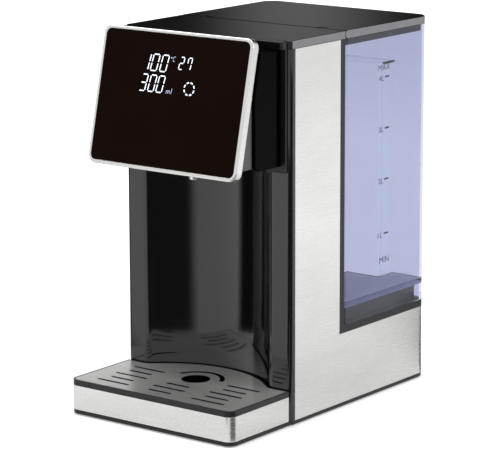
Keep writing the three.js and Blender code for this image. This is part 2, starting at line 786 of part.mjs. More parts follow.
function addOutlet() {
  const back = spoutY + chamberDepth / 2;
  const inletZ = chamberBottom + chamberInletRise;
  const front = spoutY - chamberDepth / 2;
  const top = chamberBottom + chamberHeight;
  const spoutEnd = chamberBottom + spoutInsert;
  const box = boxBetween([-chamberHalf, front, chamberBottom], [chamberHalf, back, top]);
  const hollow = boxBetween(
    [-chamberHalf + chamberWall, front + chamberWall, spoutEnd],
    [chamberHalf - chamberWall, back - chamberWall, top - chamberWall]);
  const socket = rodZ(0, spoutY, spoutRadius + gap, chamberBottom - overrun, spoutEnd + overrun);
  const inlet = rodY(0, inletZ, spigotRadius, back - chamberWall, back + spigotLength);
  const inletBore = rodY(0, inletZ, spigotBore, back - chamberWall - overrun, back + spigotLength + overrun);
  addPiece('outlet_chamber', cut(join(cut(box, hollow), inlet), socket, inletBore), whiteAbs);

  const pipe = rodZ(0, spoutY, spoutRadius, spoutTip, spoutEnd);
  const collar = rodZ(0, spoutY, spoutCollarRadius, headBottom - gap - spoutCollar, headBottom - gap);
  const bore = rodZ(0, spoutY, spoutBore, spoutTip - overrun, spoutEnd + overrun);
  addPiece('spout', cut(join(pipe, collar), bore), brightFrame);
}

function addTank() {
  const lower = prismZ(tankOutline(0, true), tankBottom, gripTop + overrun);
  const upper = prismZ(tankOutline(0, false), gripTop, tankTop);
  const water = prismZ(tankOutline(tankWall, true), tankFloorTop, gripTop + tankWall + overrun);
  const neck = prismZ(tankOutline(tankWall, false), gripTop + tankWall, tankTop + overrun);
  const skirt = prismZ(tankOutline(tankWall, true), tankBottom - overrun, tankFloorTop - tankFloor);
  const outlet = rodZ(valveX, valveY, valveHole, tankFloorTop - tankFloor - overrun, tankFloorTop + overrun);
  const knuckles = [-lidHingeX, lidHingeX].map((x) => cut(
    join(
      rodX(lidPivotY, lidPivotZ, lidEdge - gap, x - lidKnuckleHalf, x + lidKnuckleHalf),
      boxBetween(
        [x - lidKnuckleHalf, tankFrontY, tankTop - lidSkirtDepth],
        [x + lidKnuckleHalf, lidPivotY, lidPivotZ])),
    boxBetween(
      [x - lidKnuckleHalf - overrun, tankFrontY - overrun, lidPivotZ - lidEdge + gap],
      [x + lidKnuckleHalf + overrun, lidPivotY - lidEdge + gap, coverTop])));
  const shell = join(cut(join(lower, upper), water, neck, skirt, outlet), ...knuckles);
  addPiece('water_tank', cut(shell, ...lidPinHoles()), tankBlue);
}

// Pin holes of the two lid hinges
function lidPinHoles() {
  return [-lidHingeX, lidHingeX].map((x) =>
    rodX(lidPivotY, lidPivotZ, lidPinRadius + gap, x - lidPinHalf - gap, x + lidPinHalf + gap));
}

function addLid() {
  const outlineAt = (inset) => rounded([
    [-halfWidth + inset, lidFrontY + inset], [halfWidth - inset, lidFrontY + inset],
    [halfWidth - inset, rearY - inset, rearCorner - inset],
    [-halfWidth + inset, rearY - inset, rearCorner - inset]]);
  const barrelBack = lidPivotY + lidEdge;
  const plate = cut(
    prismZ(outlineAt(0), coverBottom, coverTop),
    boxBetween(
      [-halfWidth - overrun, lidFrontY - overrun, coverBottom - overrun],
      [halfWidth + overrun, lidPivotY, coverTop + overrun]));
  const barrel = rodX(lidPivotY, lidPivotZ, lidEdge, -halfWidth, halfWidth);
  const hollow = cut(
    prismZ(outlineAt(lidBandWall), coverBottom - overrun, coverTop - lidPlate),
    boxBetween(
      [-halfWidth, lidFrontY, coverBottom - overrun], [halfWidth, barrelBack, coverTop]));
  const skirtInset = tankWall + lidSkirtPlay;
  const skirtLow = coverBottom - lidSkirtDepth;
  const skirt = prismZ(tankOutline(skirtInset, false), skirtLow, coverTop - lidPlate + overrun);
  const skirtInner = tankOutline(skirtInset + lidSkirtWall, false);
  const skirtHollow = prismZ(skirtInner, skirtLow - overrun, coverTop - lidPlate);
  const notch = boxBetween(
    [-lidNotchHalf, rearY - lidBandWall - gap, coverBottom - overrun],
    [lidNotchHalf, rearY + overrun, coverBottom + lidNotchHeight]);
  const knuckleGaps = [-lidHingeX, lidHingeX].map((x) => boxBetween(
    [x - lidKnuckleHalf - gap, lidFrontY - overrun, skirtLow - overrun],
    [x + lidKnuckleHalf + gap, barrelBack, coverTop + overrun]));
  const lid = join(cut(join(plate, barrel), hollow), cut(skirt, skirtHollow));
  addPiece('tank_lid', cut(lid, notch, ...knuckleGaps, ...lidPinHoles()), coverGrey);
  for (const [side, x] of [['left', -lidHingeX], ['right', lidHingeX]]) {
    const pin = rodX(lidPivotY, lidPivotZ, lidPinRadius, x - lidPinHalf, x + lidPinHalf);
    addPiece(`lid_pin_${side}`, pin, zincSteel);
  }
}

function addValve() {
  const flangeLow = tankFloorTop + gap;
  const flangeTop = flangeLow + valveFlangeHeight;
  const body = join(
    rodZ(valveX, valveY, valveSpigot, valveBottom, tankFloorTop - tankFloor),
    rodZ(valveX, valveY, valveNeck, tankFloorTop - tankFloor - overrun, flangeTop),
    rodZ(valveX, valveY, valveFlange, flangeLow, flangeTop));
  const bore = rodZ(valveX, valveY, valveBore, valveBottom + valveSeat, flangeTop + overrun);
  const seatHole = rodZ(valveX, valveY, valveSeatHole, valveBottom - overrun, flangeTop);
  addPiece('valve_body', cut(body, bore, seatHole), whiteAbs);

  const discLow = valveBottom + valveSeat + gap + valveLift;
  const discTop = discLow + plungerDisc;
  const strainerLow = flangeTop + gap;
  const strainerTop = strainerLow + strainerHeight;
  const pinTop = plateauTop - portDepth + portPinHeight;
  addPiece('valve_plunger', join(
    rodZ(valveX, valveY, plungerRadius, discLow, discTop),
    rodZ(valveX, valveY, plungerStem, pinTop + gap, discTop),
    rodZ(valveX, valveY, plungerGuide, discTop - overrun, strainerTop)), whiteAbs);

  const cap = rodZ(valveX, valveY, valveFlange, strainerLow, strainerTop);
  const capHollow = rodZ(
    valveX, valveY, valveFlange - strainerWall, strainerLow - overrun, strainerTop - strainerWall);
  const guideHole = rodZ(valveX, valveY, plungerGuide + gap, strainerLow, strainerTop + overrun);
  const slots = Array.from({ length: strainerSlots }, (_, i) => {
    const slot = new THREE.BoxGeometry(valveFlange, strainerSlotWidth, strainerHeight);
    slot.translate(valveFlange, 0, -strainerWall).rotateZ(i * 2 * Math.PI / strainerSlots);
    return toSolid(slot.translate(valveX, valveY, (strainerLow + strainerTop) / 2));
  });
  addPiece('outlet_strainer', cut(cap, capHollow, guideHole, ...slots), whiteAbs);

  const springLow = discTop + gap + springWire;
  const springHigh = strainerTop - strainerWall - gap - springWire;
  const coil = springSolid(springLow, springHigh);
  addPiece('valve_spring', toSolid(coil.translate(valveX, valveY, 0)), zincSteel);

  const seal = new THREE.TorusGeometry(valveSpigot + gap + sealSection, sealSection, hoseSides, hoseSteps);
  addPiece('valve_seal', toSolid(seal.translate(valveX, valveY, valveBottom + sealRise)), rubberGrey);
}

// Helical spring as rings of points joined along the coil, closed at both ends
function springSolid(low, high) {
  const steps = springTurns * springStepsPerTurn;
  const points = [];
  for (let i = 0; i <= steps; i += 1) {
    const angle = i * 2 * Math.PI / springStepsPerTurn;
    for (let k = 0; k < springSides; k += 1) {
      const turn = k * 2 * Math.PI / springSides;
      const radius = springRadius + springWire * Math.cos(turn);
      const z = low + (high - low) * i / steps + springWire * Math.sin(turn);
      points.push(radius * Math.cos(angle), radius * Math.sin(angle), z);
    }
  }
  const faces = [];
  for (let i = 0; i < steps; i += 1) {
    for (let k = 0; k < springSides; k += 1) {
      const [a, b] = [i * springSides + k, i * springSides + (k + 1) % springSides];
      faces.push(a, a + springSides, b, b, a + springSides, b + springSides);
    }
  }
  for (let k = 1; k < springSides - 1; k += 1) {
    const last = steps * springSides;
    faces.push(0, k, k + 1, last, last + k + 1, last + k);
  }
  const geometry = new THREE.BufferGeometry();
  geometry.setAttribute('position', new THREE.Float32BufferAttribute(points, 3));
  geometry.setIndex(faces);
  return geometry;
}

function addTray() {
  const bodyInset = bandThickness + gap;
  const wallInset = bodyInset + trayWall;
  const seat = trayRimTop - plateThickness - gap;
  const body = prismZ(trayOutline(bodyInset), trayBottom, trayRimBottom + overrun);
  const rim = prismZ(trayOutline(0), trayRimBottom, trayRimTop);
  const recess = prismZ(trayOutline(trayRimWidth), seat, trayRimTop + overrun);
  const basin = prismZ(trayOutline(wallInset), trayBottom + trayFloor, trayRimTop + overrun);
  addPiece('drip_tray', cut(join(body, rim), recess, basin), satinBlack);

  const bandBack = faceY - trayClearance;
  const inner = trayHalf - bandThickness;
  const innerCorner = trayCorner - bandThickness;
  const band = rounded([
    [-trayHalf, bandBack], [-trayHalf, trayFrontY, trayCorner], [trayHalf, trayFrontY, trayCorner],
    [trayHalf, bandBack], [inner, bandBack], [inner, trayFrontY + bandThickness, innerCorner],
    [-inner, trayFrontY + bandThickness, innerCorner], [-inner, bandBack]]);
  addPiece('tray_band', prismZ(band, trayBottom + trayBandLift, trayRimBottom - gap), brushedSteel);

  const slots = [];
  for (let row = 0; row < slotRows; row += 1) {
    const y = spoutY - row * slotPitch;
    const even = row % 2 === 0;
    const side = even ? slotLong : slotShort;
    slots.push(slotOutline(-slotGroupX, y, side), slotOutline(slotGroupX, y, side));
    if (row > 1) slots.push(slotOutline(0, y, even ? slotShort : slotLong));
  }
  const arcSlot = [
    ...arcPoints(0, spoutY, arcSlotOuter, arcSlotStart, Math.PI - arcSlotStart),
    ...arcPoints(0, spoutY, arcSlotInner, Math.PI - arcSlotStart, arcSlotStart)];
  const drain = arcPoints(0, spoutY, drainRadius, 0, 2 * Math.PI).slice(1);
  const plate = prismZ(
    trayOutline(trayRimWidth + gap), trayRimTop - plateThickness, trayRimTop, [...slots, arcSlot, drain]);
  addPiece('tray_plate', plate, brushedSteel);
}

function slotOutline(x, y, length) {
  const half = length / 2;
  return roundedBox(x - half, y - slotWidth / 2, x + half, y + slotWidth / 2, slotWidth / 2 - gap / 2);
}

function addPump() {
  const backY = pumpFrontY + pumpLength;
  const cavity = pumpRadius - pumpWall;
  const outletY = pumpFrontY + (pumpLength + pumpWall) / 2;
  const outletZ = pumpZ + pumpOutletRise;
  const outletTip = pumpX - pumpRadius - spigotLength;
  const outletRoot = pumpX - Math.sqrt(cavity ** 2 - pumpOutletRise ** 2) - overrun;
  const housing = join(
    rodY(pumpX, pumpZ, pumpRadius, pumpFrontY, backY),
    rodY(pumpX, pumpZ, spigotRadius, pumpFrontY - spigotLength, pumpFrontY + overrun),
    rodX(outletY, outletZ, spigotRadius, outletTip, outletRoot));
  addPiece('pump_housing', cut(housing,
    rodY(pumpX, pumpZ, cavity, pumpFrontY + pumpWall, backY + overrun),
    rodY(pumpX, pumpZ, spigotBore, pumpFrontY - spigotLength - overrun, backY),
    rodX(outletY, outletZ, spigotBore, outletTip - overrun, pumpX)), satinBlack);

  const flangeY = backY + gap;
  const motor = join(
    rodY(pumpX, pumpZ, pumpRadius, flangeY, flangeY + motorFlange),
    rodY(pumpX, pumpZ, motorRadius, flangeY + motorFlange - overrun, flangeY + motorFlange + motorLength));
  addPiece('pump_motor',
    cut(motor, rodY(pumpX, pumpZ, motorBore, flangeY - overrun, flangeY + motorBoreDepth)), zincSteel);

  const wheelY = pumpFrontY + impellerFrontSet;
  const wheelBack = wheelY + impellerLength;
  const blades = Array.from({ length: impellerBlades }, (_, i) => {
    const blade = new THREE.BoxGeometry(impellerRadius, impellerLength, bladeThickness);
    blade.translate(impellerRadius / 2, 0, 0).rotateY(i * 2 * Math.PI / impellerBlades);
    return toSolid(blade.translate(pumpX, wheelY + impellerLength / 2, pumpZ));
  });
  addPiece('pump_impeller', join(
    rodY(pumpX, pumpZ, impellerHub, wheelY, wheelBack),
    rodY(pumpX, pumpZ, impellerRadius, wheelBack - impellerDisc, wheelBack),
    rodY(pumpX, pumpZ, rotorShaft, wheelBack - overrun, wheelBack + rotorShaftLength), ...blades), whiteAbs);

  const mountFront = flangeY + motorFlange + mountSet;
  const mountBack = mountFront + mountLength;
  const block = boxBetween(
    [pumpX - mountHalf, mountFront, baseTop + gap], [pumpX + mountHalf, mountBack, pumpZ - gap]);
  const saddle = rodY(pumpX, pumpZ, motorRadius + gap, mountFront - overrun, mountBack + overrun);
  addPiece('pump_mount', cut(block, saddle), rubberGrey);
}

function addFlowMeter() {
  const top = meterBottom + meterHeight;
  const cavity = meterRadius - meterWall;
  const portZ = meterBottom + meterPortRise;
  const floorTop = meterBottom + meterWall;
  const body = join(
    rodZ(meterX, meterY, meterRadius, meterBottom, top),
    rodZ(meterX, meterY, meterFoot, baseTop + gap, meterBottom + overrun),
    rodY(meterX, portZ, spigotRadius, meterY - meterRadius - spigotLength, meterY - cavity - overrun),
    rodX(meterY, portZ, spigotRadius, meterX + cavity + overrun, meterX + meterRadius + spigotLength));
  addPiece('flow_meter_body', cut(body,
    rodZ(meterX, meterY, cavity, floorTop, top + overrun),
    rodZ(meterX, meterY, meterBearing, floorTop - meterAxleEnd, top),
    rodY(meterX, portZ, spigotBore, meterY - meterRadius - spigotLength - overrun, meterY),
    rodX(meterY, portZ, spigotBore, meterX, meterX + meterRadius + spigotLength + overrun)), whiteAbs);

  const capLow = top + gap;
  addPiece('flow_meter_cap', cut(
    rodZ(meterX, meterY, meterRadius, capLow, capLow + meterCap),
    rodZ(meterX, meterY, meterBearing, capLow - overrun, capLow + meterCap + overrun)), satinBlack);

  const hubLow = floorTop + gap;
  const hubTop = top - gap;
  const paddleLow = (hubLow + hubTop - meterRotorHeight) / 2;
  const paddles = [0, 1, 2].map((i) => {
    const paddle = new THREE.BoxGeometry(2 * meterRotorRadius, bladeThickness, meterRotorHeight);
    paddle.rotateZ(i * Math.PI / 3);
    return toSolid(paddle.translate(meterX, meterY, paddleLow + meterRotorHeight / 2));
  });
  const hub = rodZ(meterX, meterY, meterRotorHub, hubLow, hubTop);
  const axle = rodZ(meterX, meterY, meterAxle, floorTop - meterAxleEnd + gap, capLow + meterCap);
  addPiece('flow_meter_rotor', join(hub, axle, ...paddles), glossBlack);
}

function addHeater() {
  addPiece('heater_tube', cut(
    rodZ(heaterX, heaterY, heaterRadius, heaterLow, heaterHigh),
    rodZ(heaterX, heaterY, heaterBore, heaterLow - overrun, heaterHigh + overrun)), zincSteel);
  for (const [name, end, up] of [['lower', heaterLow, -1], ['upper', heaterHigh, 1]]) {
    const span = (radius, from, to) => {
      const [low, high] = [end + up * from, end + up * to].sort((a, b) => a - b);
      return rodZ(heaterX, heaterY, radius, low, high);
    };
    const cap = join(
      span(heaterRadius, gap, gap + heaterCap), span(heaterBore - gap, -heaterPlug, gap + overrun),
      span(spigotRadius, heaterCap, gap + heaterCap + spigotLength));
    const bore = span(spigotBore, -heaterPlug - overrun, gap + heaterCap + spigotLength + overrun);
    addPiece(`heater_cap_${name}`, cut(cap, bore), whiteAbs);
  }
  const clampOuter = heaterRadius + gap + clampWall;
  const ring = rodZ(heaterX, heaterY, clampOuter, clampLow, clampLow + clampHeight);
  const foot = boxBetween(
    [heaterX - clampHalf, heaterY, clampLow], [heaterX + clampHalf, bayFrontY - gap, clampLow + clampHeight]);
  const clampTop = clampLow + clampHeight;
  const hole = rodZ(heaterX, heaterY, heaterRadius + gap, clampLow - overrun, clampTop + overrun);
  addPiece('heater_clamp', cut(join(ring, foot), hole), zincSteel);
  const cutoutBack = heaterY - heaterRadius - gap;
  const cutout = rodY(heaterX, cutoutZ, cutoutRadius, cutoutBack - cutoutDepth, cutoutBack);
  addPiece('thermal_cutout', cutout, satinBlack);
}

// Parts on the power board: place and size as shares of the board, and depth as a share of the steel's run
const boardPartShares = [
  { left: 0.08, low: 0.08, wide: 0.4, high: 0.18, deep: 0.335 },
  { left: 0.58, low: 0.08, wide: 0.32, high: 0.13, deep: 0.244 },
  { left: 0.1, low: 0.36, wide: 0.24, high: 0.12, deep: 0.304 },
  { left: 0.48, low: 0.34, wide: 0.14, high: 0.28, deep: 0.365 },
  { left: 0.16, low: 0.62, wide: 0.3, high: 0.1, deep: 0.183 },
  { left: 0.62, low: 0.74, wide: 0.26, high: 0.12, deep: 0.152 }];

function addPowerBoard() {
  const back = bayFrontY - powerPostLength - gap;
  const front = back - powerThickness;
  const wide = powerRight - powerLeft;
  const high = powerHigh - powerLow;
  const board = boxBetween([powerLeft, front, powerLow], [powerRight, back, powerHigh]);
  const parts = boardPartShares.map((share) => {
    const left = powerLeft + share.left * wide;
    const low = powerLow + share.low * high;
    return boxBetween(
      [left, front - share.deep * steelRun, low], [left + share.wide * wide, back, low + share.high * high]);
  });
  addPiece('power_board', join(board, ...parts), boardGreen);
  for (const [side, x] of [['left', powerLeft + powerPostInset], ['right', powerRight - powerPostInset]]) {
    for (const [level, z] of [['lower', powerLow + powerPostInset], ['upper', powerHigh - powerPostInset]]) {
      const spacer = rodY(x, z, powerPost, bayFrontY - powerPostLength, bayFrontY - gap);
      addPiece(`board_spacer_${level}_${side}`, spacer, whiteAbs);
    }
  }
}

// Hose with its bore: straight over the spigot at each end, smooth through the way points between
function addHose(name, from, fromWay, way, to, toWay) {
  const along = (end, direction, reach) => end.clone().addScaledVector(direction, reach);
  const [bendStart, bendEnd] = [from, to].map((end, i) => along(end, [fromWay, toWay][i], spigotLength));
  const points = [
    from, bendStart, along(bendStart, fromWay, hoseRadius), ...way.map((p) => new THREE.Vector3(...p)),
    along(bendEnd, toWay, hoseRadius), bendEnd, to];
  const path = new THREE.CatmullRomCurve3(points, false, 'centripetal');
  const tube = (radius, curve, steps) => {
    const section = toShape(Array.from({ length: hoseSides }, (_, i) => {
      const angle = i * 2 * Math.PI / hoseSides;
      return [radius * Math.cos(angle), radius * Math.sin(angle)];
    }));
    return toSolid(new THREE.ExtrudeGeometry(section, { steps, bevelEnabled: false, extrudePath: curve }));
  };
  const mouths = [[from, fromWay], [to, toWay]].map(([end, direction]) => {
    const line = new THREE.LineCurve3(along(end, direction, overrun), along(end, direction, -overrun));
    return tube(hoseBore + gap, line, 1);
  });
  const bore = tube(hoseBore + gap, path, hoseSteps);
  addPiece(name, cut(tube(hoseRadius, path, hoseSteps), bore, ...mouths), silicone);
}

function addHoses() {
  const right = new THREE.Vector3(1, 0, 0);
  const rearward = new THREE.Vector3(0, 1, 0);
  const upward = new THREE.Vector3(0, 0, 1);
  const [left, forward, down] = [right, rearward, upward].map((way) => way.clone().negate());
  const at = (x, y, z) => new THREE.Vector3(x, y, z);
  const bend = 4 * hoseRadius;

  const cupOutletX = valveX + portOutletX;
  const cupBottom = plateauTop - portDepth - portWall - gap;
  const meterPortZ = meterBottom + meterPortRise;
  const meterInletY = meterY - meterRadius - gap;
  addHose('hose_tank_to_meter', at(cupOutletX, valveY, cupBottom), down, [
    [cupOutletX - hoseRadius, valveY - hoseRadius, cupBottom - bend - spigotLength / 2],
    [(cupOutletX + meterX) / 2, meterInletY - 2 * bend, meterPortZ + hoseRadius],
  ], at(meterX, meterInletY, meterPortZ), forward);

  const meterOutletX = meterX + meterRadius + gap;
  const pumpInletY = pumpFrontY - gap;
  addHose('hose_meter_to_pump', at(meterOutletX, meterY, meterPortZ), right, [
    [0, meterY - bend, meterPortZ - hoseRadius], [hoseRadius, pumpInletY, meterPortZ - hoseRadius],
    [pumpX - 2 * bend, bayFrontY, meterPortZ - hoseRadius], [pumpX - bend, bayFrontY - bend, pumpZ],
  ], at(pumpX, pumpInletY, pumpZ), forward);

  const pumpOutletX = pumpX - pumpRadius - gap;
  const pumpOutletY = pumpFrontY + (pumpLength + pumpWall) / 2;
  const pumpOutletZ = pumpZ + pumpOutletRise;
  const heaterInletZ = heaterLow - heaterCap - 2 * gap;
  addHose('hose_pump_to_heater', at(pumpOutletX, pumpOutletY, pumpOutletZ), left, [
    [-bend, (pumpOutletY + bayFrontY) / 2, pumpOutletZ + hoseRadius],
    [heaterX + hoseRadius, bayFrontY - 2 * hoseRadius, pumpOutletZ + bend],
  ], at(heaterX, heaterY, heaterInletZ), down);

  const heaterOutletZ = heaterHigh + heaterCap + 2 * gap;
  const chamberBack = spoutY + chamberDepth / 2 + gap;
  const chamberInletZ = chamberBottom + chamberInletRise;
  addHose('hose_heater_to_outlet', at(heaterX, heaterY, heaterOutletZ), upward, [
    [heaterX + hoseRadius, heaterY - hoseRadius, heaterOutletZ + 2 * bend],
    [heaterX / 3, heaterY - hoseRadius, heaterOutletZ + 2 * bend],
  ], at(0, chamberBack, chamberInletZ), rearward);
}

function addGland() {
  const inside = rearY - wrapThickness - gap;
  const body = join(
    rodY(glandX, glandZ, glandNeck, inside - glandInnerDepth, rearY + glandProud),
    rodY(glandX, glandZ, glandFlange, rearY + gap, rearY + glandProud),
    rodY(glandX, glandZ, glandInnerFlange, inside - glandInnerDepth, inside));
  const bore = rodY(
    glandX, glandZ, glandBore, inside - glandInnerDepth - overrun, rearY + glandProud + overrun);
  addPiece('cord_gland', cut(body, bore), rubberGrey);
}

addBase();
addSteelWrap();
addColumn();
addCradle();
addTopCover();
addHead();
addDisplay();
addOutlet();
addTank();
addLid();
addValve();
addTray();
addPump();
addFlowMeter();
addHeater();
addPowerBoard();
addHoses();
addGland();

export default dispenser;
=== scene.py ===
"""Looks of the instant hot water dispenser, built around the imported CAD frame. Sizes are in millimetres."""

import sys

import logging
import math
from collections.abc import Callable, Iterator, Sequence
from contextlib import contextmanager
from dataclasses import dataclass
from enum import Enum

import bpy
from mathutils import Matrix, Vector


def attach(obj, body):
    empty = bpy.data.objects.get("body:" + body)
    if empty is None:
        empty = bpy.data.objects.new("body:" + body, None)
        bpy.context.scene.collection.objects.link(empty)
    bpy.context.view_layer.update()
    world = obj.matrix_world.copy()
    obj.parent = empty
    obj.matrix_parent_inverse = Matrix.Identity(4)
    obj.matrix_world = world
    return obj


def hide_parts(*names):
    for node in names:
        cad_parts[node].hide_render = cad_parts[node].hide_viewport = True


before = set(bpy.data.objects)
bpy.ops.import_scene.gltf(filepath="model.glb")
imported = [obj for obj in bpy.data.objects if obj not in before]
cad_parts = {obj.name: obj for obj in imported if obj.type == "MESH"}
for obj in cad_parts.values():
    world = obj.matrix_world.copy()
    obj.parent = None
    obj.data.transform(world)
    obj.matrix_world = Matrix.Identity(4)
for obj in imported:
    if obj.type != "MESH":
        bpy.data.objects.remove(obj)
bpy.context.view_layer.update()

LOG = logging.getLogger("dispenser")
Point = tuple[float, float]

# A millimetre in metres. The lengths below are in millimetres.
MM = 0.001
# How far a tool reaches past what it cuts, or into what it is joined to.
OVER = 1.0
# Gap between two pieces that are fitted together.
PLAY = 0.3
# How near to a plane a point counts as lying in it.
NEAR = 0.1
# Corners that lie closer than this are one corner.
MERGE = 0.002
# Sides of a round bar, and of a turned piece.
ROUND_SIDES = 96


class Edge(Enum):
    """How far the sharp edges of a piece are broken, from not at all to soft."""

    NONE = 0.0
    KEEN = 0.12
    FINE = 0.15
    THIN = 0.2
    CRISP = 0.25
    MILD = 0.3
    SOFT = 0.35


class Tool(Enum):
    """What a tool does to a piece: it is joined to it or cut from it."""

    JOIN = "UNION"
    CUT = "DIFFERENCE"


class Axis(Enum):
    """Direction that an outline is swept along, with the two axes that it is drawn in."""

    X = (1, 2, 0)
    Y = (0, 2, 1)
    Z = (0, 1, 2)

    def place(self, across: float, up: float, along: float) -> Vector:
        """Point, in metres, of a place in the drawing and a distance along the sweep.

        Args:
            across: First coordinate in the drawing.
            up: Second coordinate in the drawing.
            along: Distance along the sweep.

        Returns:
            The point.
        """
        point = Vector((0, 0, 0))
        for index, value in zip(self.value, (across, up, along)):
            point[index] = value * MM
        return point


# Drawing: points of outlines, in millimetres


def arc(centre: Point, radius: float, start: float, end: float, sagitta: float = 0.015) -> list[Point]:
    """Points of an arc.

    Args:
        centre: Centre of the arc.
        radius: Its radius.
        start: Angle of the first point, in radians.
        end: Angle of the last point.
        sagitta: How far a chord may stay off the arc.

    Returns:
        The points, ends included.
    """
    coarsest_share, fewest = 0.3, 3
    step = 2 * math.acos(1 - min(sagitta / radius, coarsest_share))
    count = max(fewest, math.ceil(abs(end - start) / step))
    angles = [start + (end - start) * i / count for i in range(count + 1)]
    return [(centre[0] + radius * math.cos(a), centre[1] + radius * math.sin(a)) for a in angles]


def rounded(corners: Sequence[tuple[float, float, float]]) -> list[Point]:
    """Outline through corners, each rounded by its own radius.

    Args:
        corners: Place and radius of each corner, in order round the outline.

    Returns:
        The points of the closed outline.
    """
    outline: list[Point] = []
    for index, (x, y, radius) in enumerate(corners):
        corner = Vector((x, y))
        if radius <= 0:
            outline.append((x, y))
            continue
        before = (Vector(corners[index - 1][:2]) - corner).normalized()
        after = (Vector(corners[(index + 1) % len(corners)][:2]) - corner).normalized()
        half = before.angle(after) / 2
        centre = corner + (before + after).normalized() * radius / math.sin(half)
        reach = radius / math.tan(half)
        start = corner + before * reach - centre
        end = corner + after * reach - centre
        first = math.atan2(start.y, start.x)
        turn = (math.atan2(end.y, end.x) - first + math.pi) % (2 * math.pi) - math.pi
        outline += arc(tuple(centre), radius, first, first + turn)
    return outline


def rounded_box(left: float, low: float, right: float, high: float, radius: float) -> list[Point]:
    """Returns the outline of a rectangle with four equal corners."""
    return rounded([(left, low, radius), (right, low, radius), (right, high, radius), (left, high, radius)])


def circle(centre: Point, radius: float) -> list[Point]:
    """Returns the points round a full circle."""
    return arc(centre, radius, 0, 2 * math.pi)[:-1]


# Modelling: one mesh object at a time, shaped with operators


def deselect() -> None:
    """Deselects every object, so that an operator reaches only what is selected next."""
    bpy.ops.object.select_all(action="DESELECT")


def activate(*pieces: bpy.types.Object) -> None:
    """Selects the pieces and makes the first one active.

    Args:
        pieces: The pieces, the first of which becomes active.
    """
    deselect()
    for piece in pieces:
        piece.select_set(True)
    bpy.context.view_layer.objects.active = pieces[0]


@contextmanager
def editing(piece: bpy.types.Object, everything: bool = True) -> Iterator[None]:
    """Puts a piece in edit mode for the block, with everything selected or with its own selection.

    Args:
        piece: The piece.
        everything: Whether all of it is selected, or only what its mesh has selected.

    Yields:
        Nothing; the piece is in edit mode for the block.
    """
    activate(piece)
    bpy.ops.object.mode_set(mode="EDIT")
    if everything:
        bpy.ops.mesh.select_all(action="SELECT")
    yield
    bpy.ops.object.mode_set(mode="OBJECT")


def settle(piece: bpy.types.Object) -> bpy.types.Object:
    """Moves a piece's own placing into its mesh and turns its faces outwards.

    Args:
        piece: The piece.

    Returns:
        The piece, unturned and unscaled at the origin.
    """
    activate(piece)
    bpy.ops.object.transform_apply(location=True, rotation=True, scale=True)
    with editing(piece):
        bpy.ops.mesh.normals_make_consistent(inside=False)
    return piece


def named(name: str) -> bpy.types.Object:
    """Names the object that an operator has just added.

    Args:
        name: Its name, which its mesh gets too.

    Returns:
        The object.
    """
    piece = bpy.context.object
    piece.name = piece.data.name = name
    return piece


def prism(name: str, loops: Sequence[Sequence[Point]], axis: Axis, low: float, high: float) -> bpy.types.Object:
    """Solid swept from one outline, with any further outlines as holes through it.

    Args:
        name: Name of the piece.
        loops: The outer outline, then the holes.
        axis: Direction of the sweep.
        low: Where the sweep starts.
        high: Where it ends.

    Returns:
        The closed mesh.
    """
    deselect()
    first = axis.place(*loops[0][0], low)
    bpy.ops.mesh.primitive_plane_add(size=MM, location=(0, 0, 0))
    piece = named(name)
    with editing(piece):
        bpy.ops.mesh.delete(type="VERT")
        for loop in loops:
            places = [axis.place(*point, low) for point in loop]
            bpy.ops.mesh.primitive_plane_add(size=MM, location=places[0])
            bpy.ops.mesh.merge(type="CENTER")
            for before, after in zip(places, [*places[1:], places[0]]):
                bpy.ops.mesh.extrude_region_move(TRANSFORM_OT_translate={"value": after - before})
        bpy.ops.mesh.select_all(action="SELECT")
        bpy.ops.mesh.remove_doubles(threshold=MERGE * MM)
        if len(loops) > 1:
            bpy.ops.mesh.fill(use_beauty=True)
        else:
            bpy.ops.mesh.edge_face_add()
        bpy.ops.mesh.select_all(action="SELECT")
        sweep = axis.place(*loops[0][0], high) - first
        bpy.ops.mesh.extrude_region_move(TRANSFORM_OT_translate={"value": sweep})
    return settle(piece)


def box(name: str, low: Sequence[float], high: Sequence[float]) -> bpy.types.Object:
    """Box between two corners.

    Args:
        name: Name of the piece.
        low: Its corner with the lowest coordinates.
        high: Its corner with the highest coordinates.

    Returns:
        The closed mesh.
    """
    deselect()
    centre = [(a + b) / 2 * MM for a, b in zip(low, high)]
    bpy.ops.mesh.primitive_cube_add(size=1, location=centre, scale=[(b - a) * MM for a, b in zip(low, high)])
    return settle(named(name))


def rod(name: str, axis: Axis, centre: Point, radius: float, low: float, high: float) -> bpy.types.Object:
    """Round bar along an axis.

    Args:
        name: Name of the piece.
        axis: Direction of the bar.
        centre: Where the bar stands in the other two directions.
        radius: Its radius.
        low: Where it starts along the axis.
        high: Where it ends.

    Returns:
        The closed mesh.
    """
    turn = {Axis.X: (0, math.pi / 2, 0), Axis.Y: (math.pi / 2, 0, 0), Axis.Z: (0, 0, 0)}[axis]
    deselect()
    bpy.ops.mesh.primitive_cylinder_add(
        vertices=ROUND_SIDES, radius=radius * MM, depth=(high - low) * MM, rotation=turn,
        location=axis.place(*centre, (low + high) / 2))
    return settle(named(name))


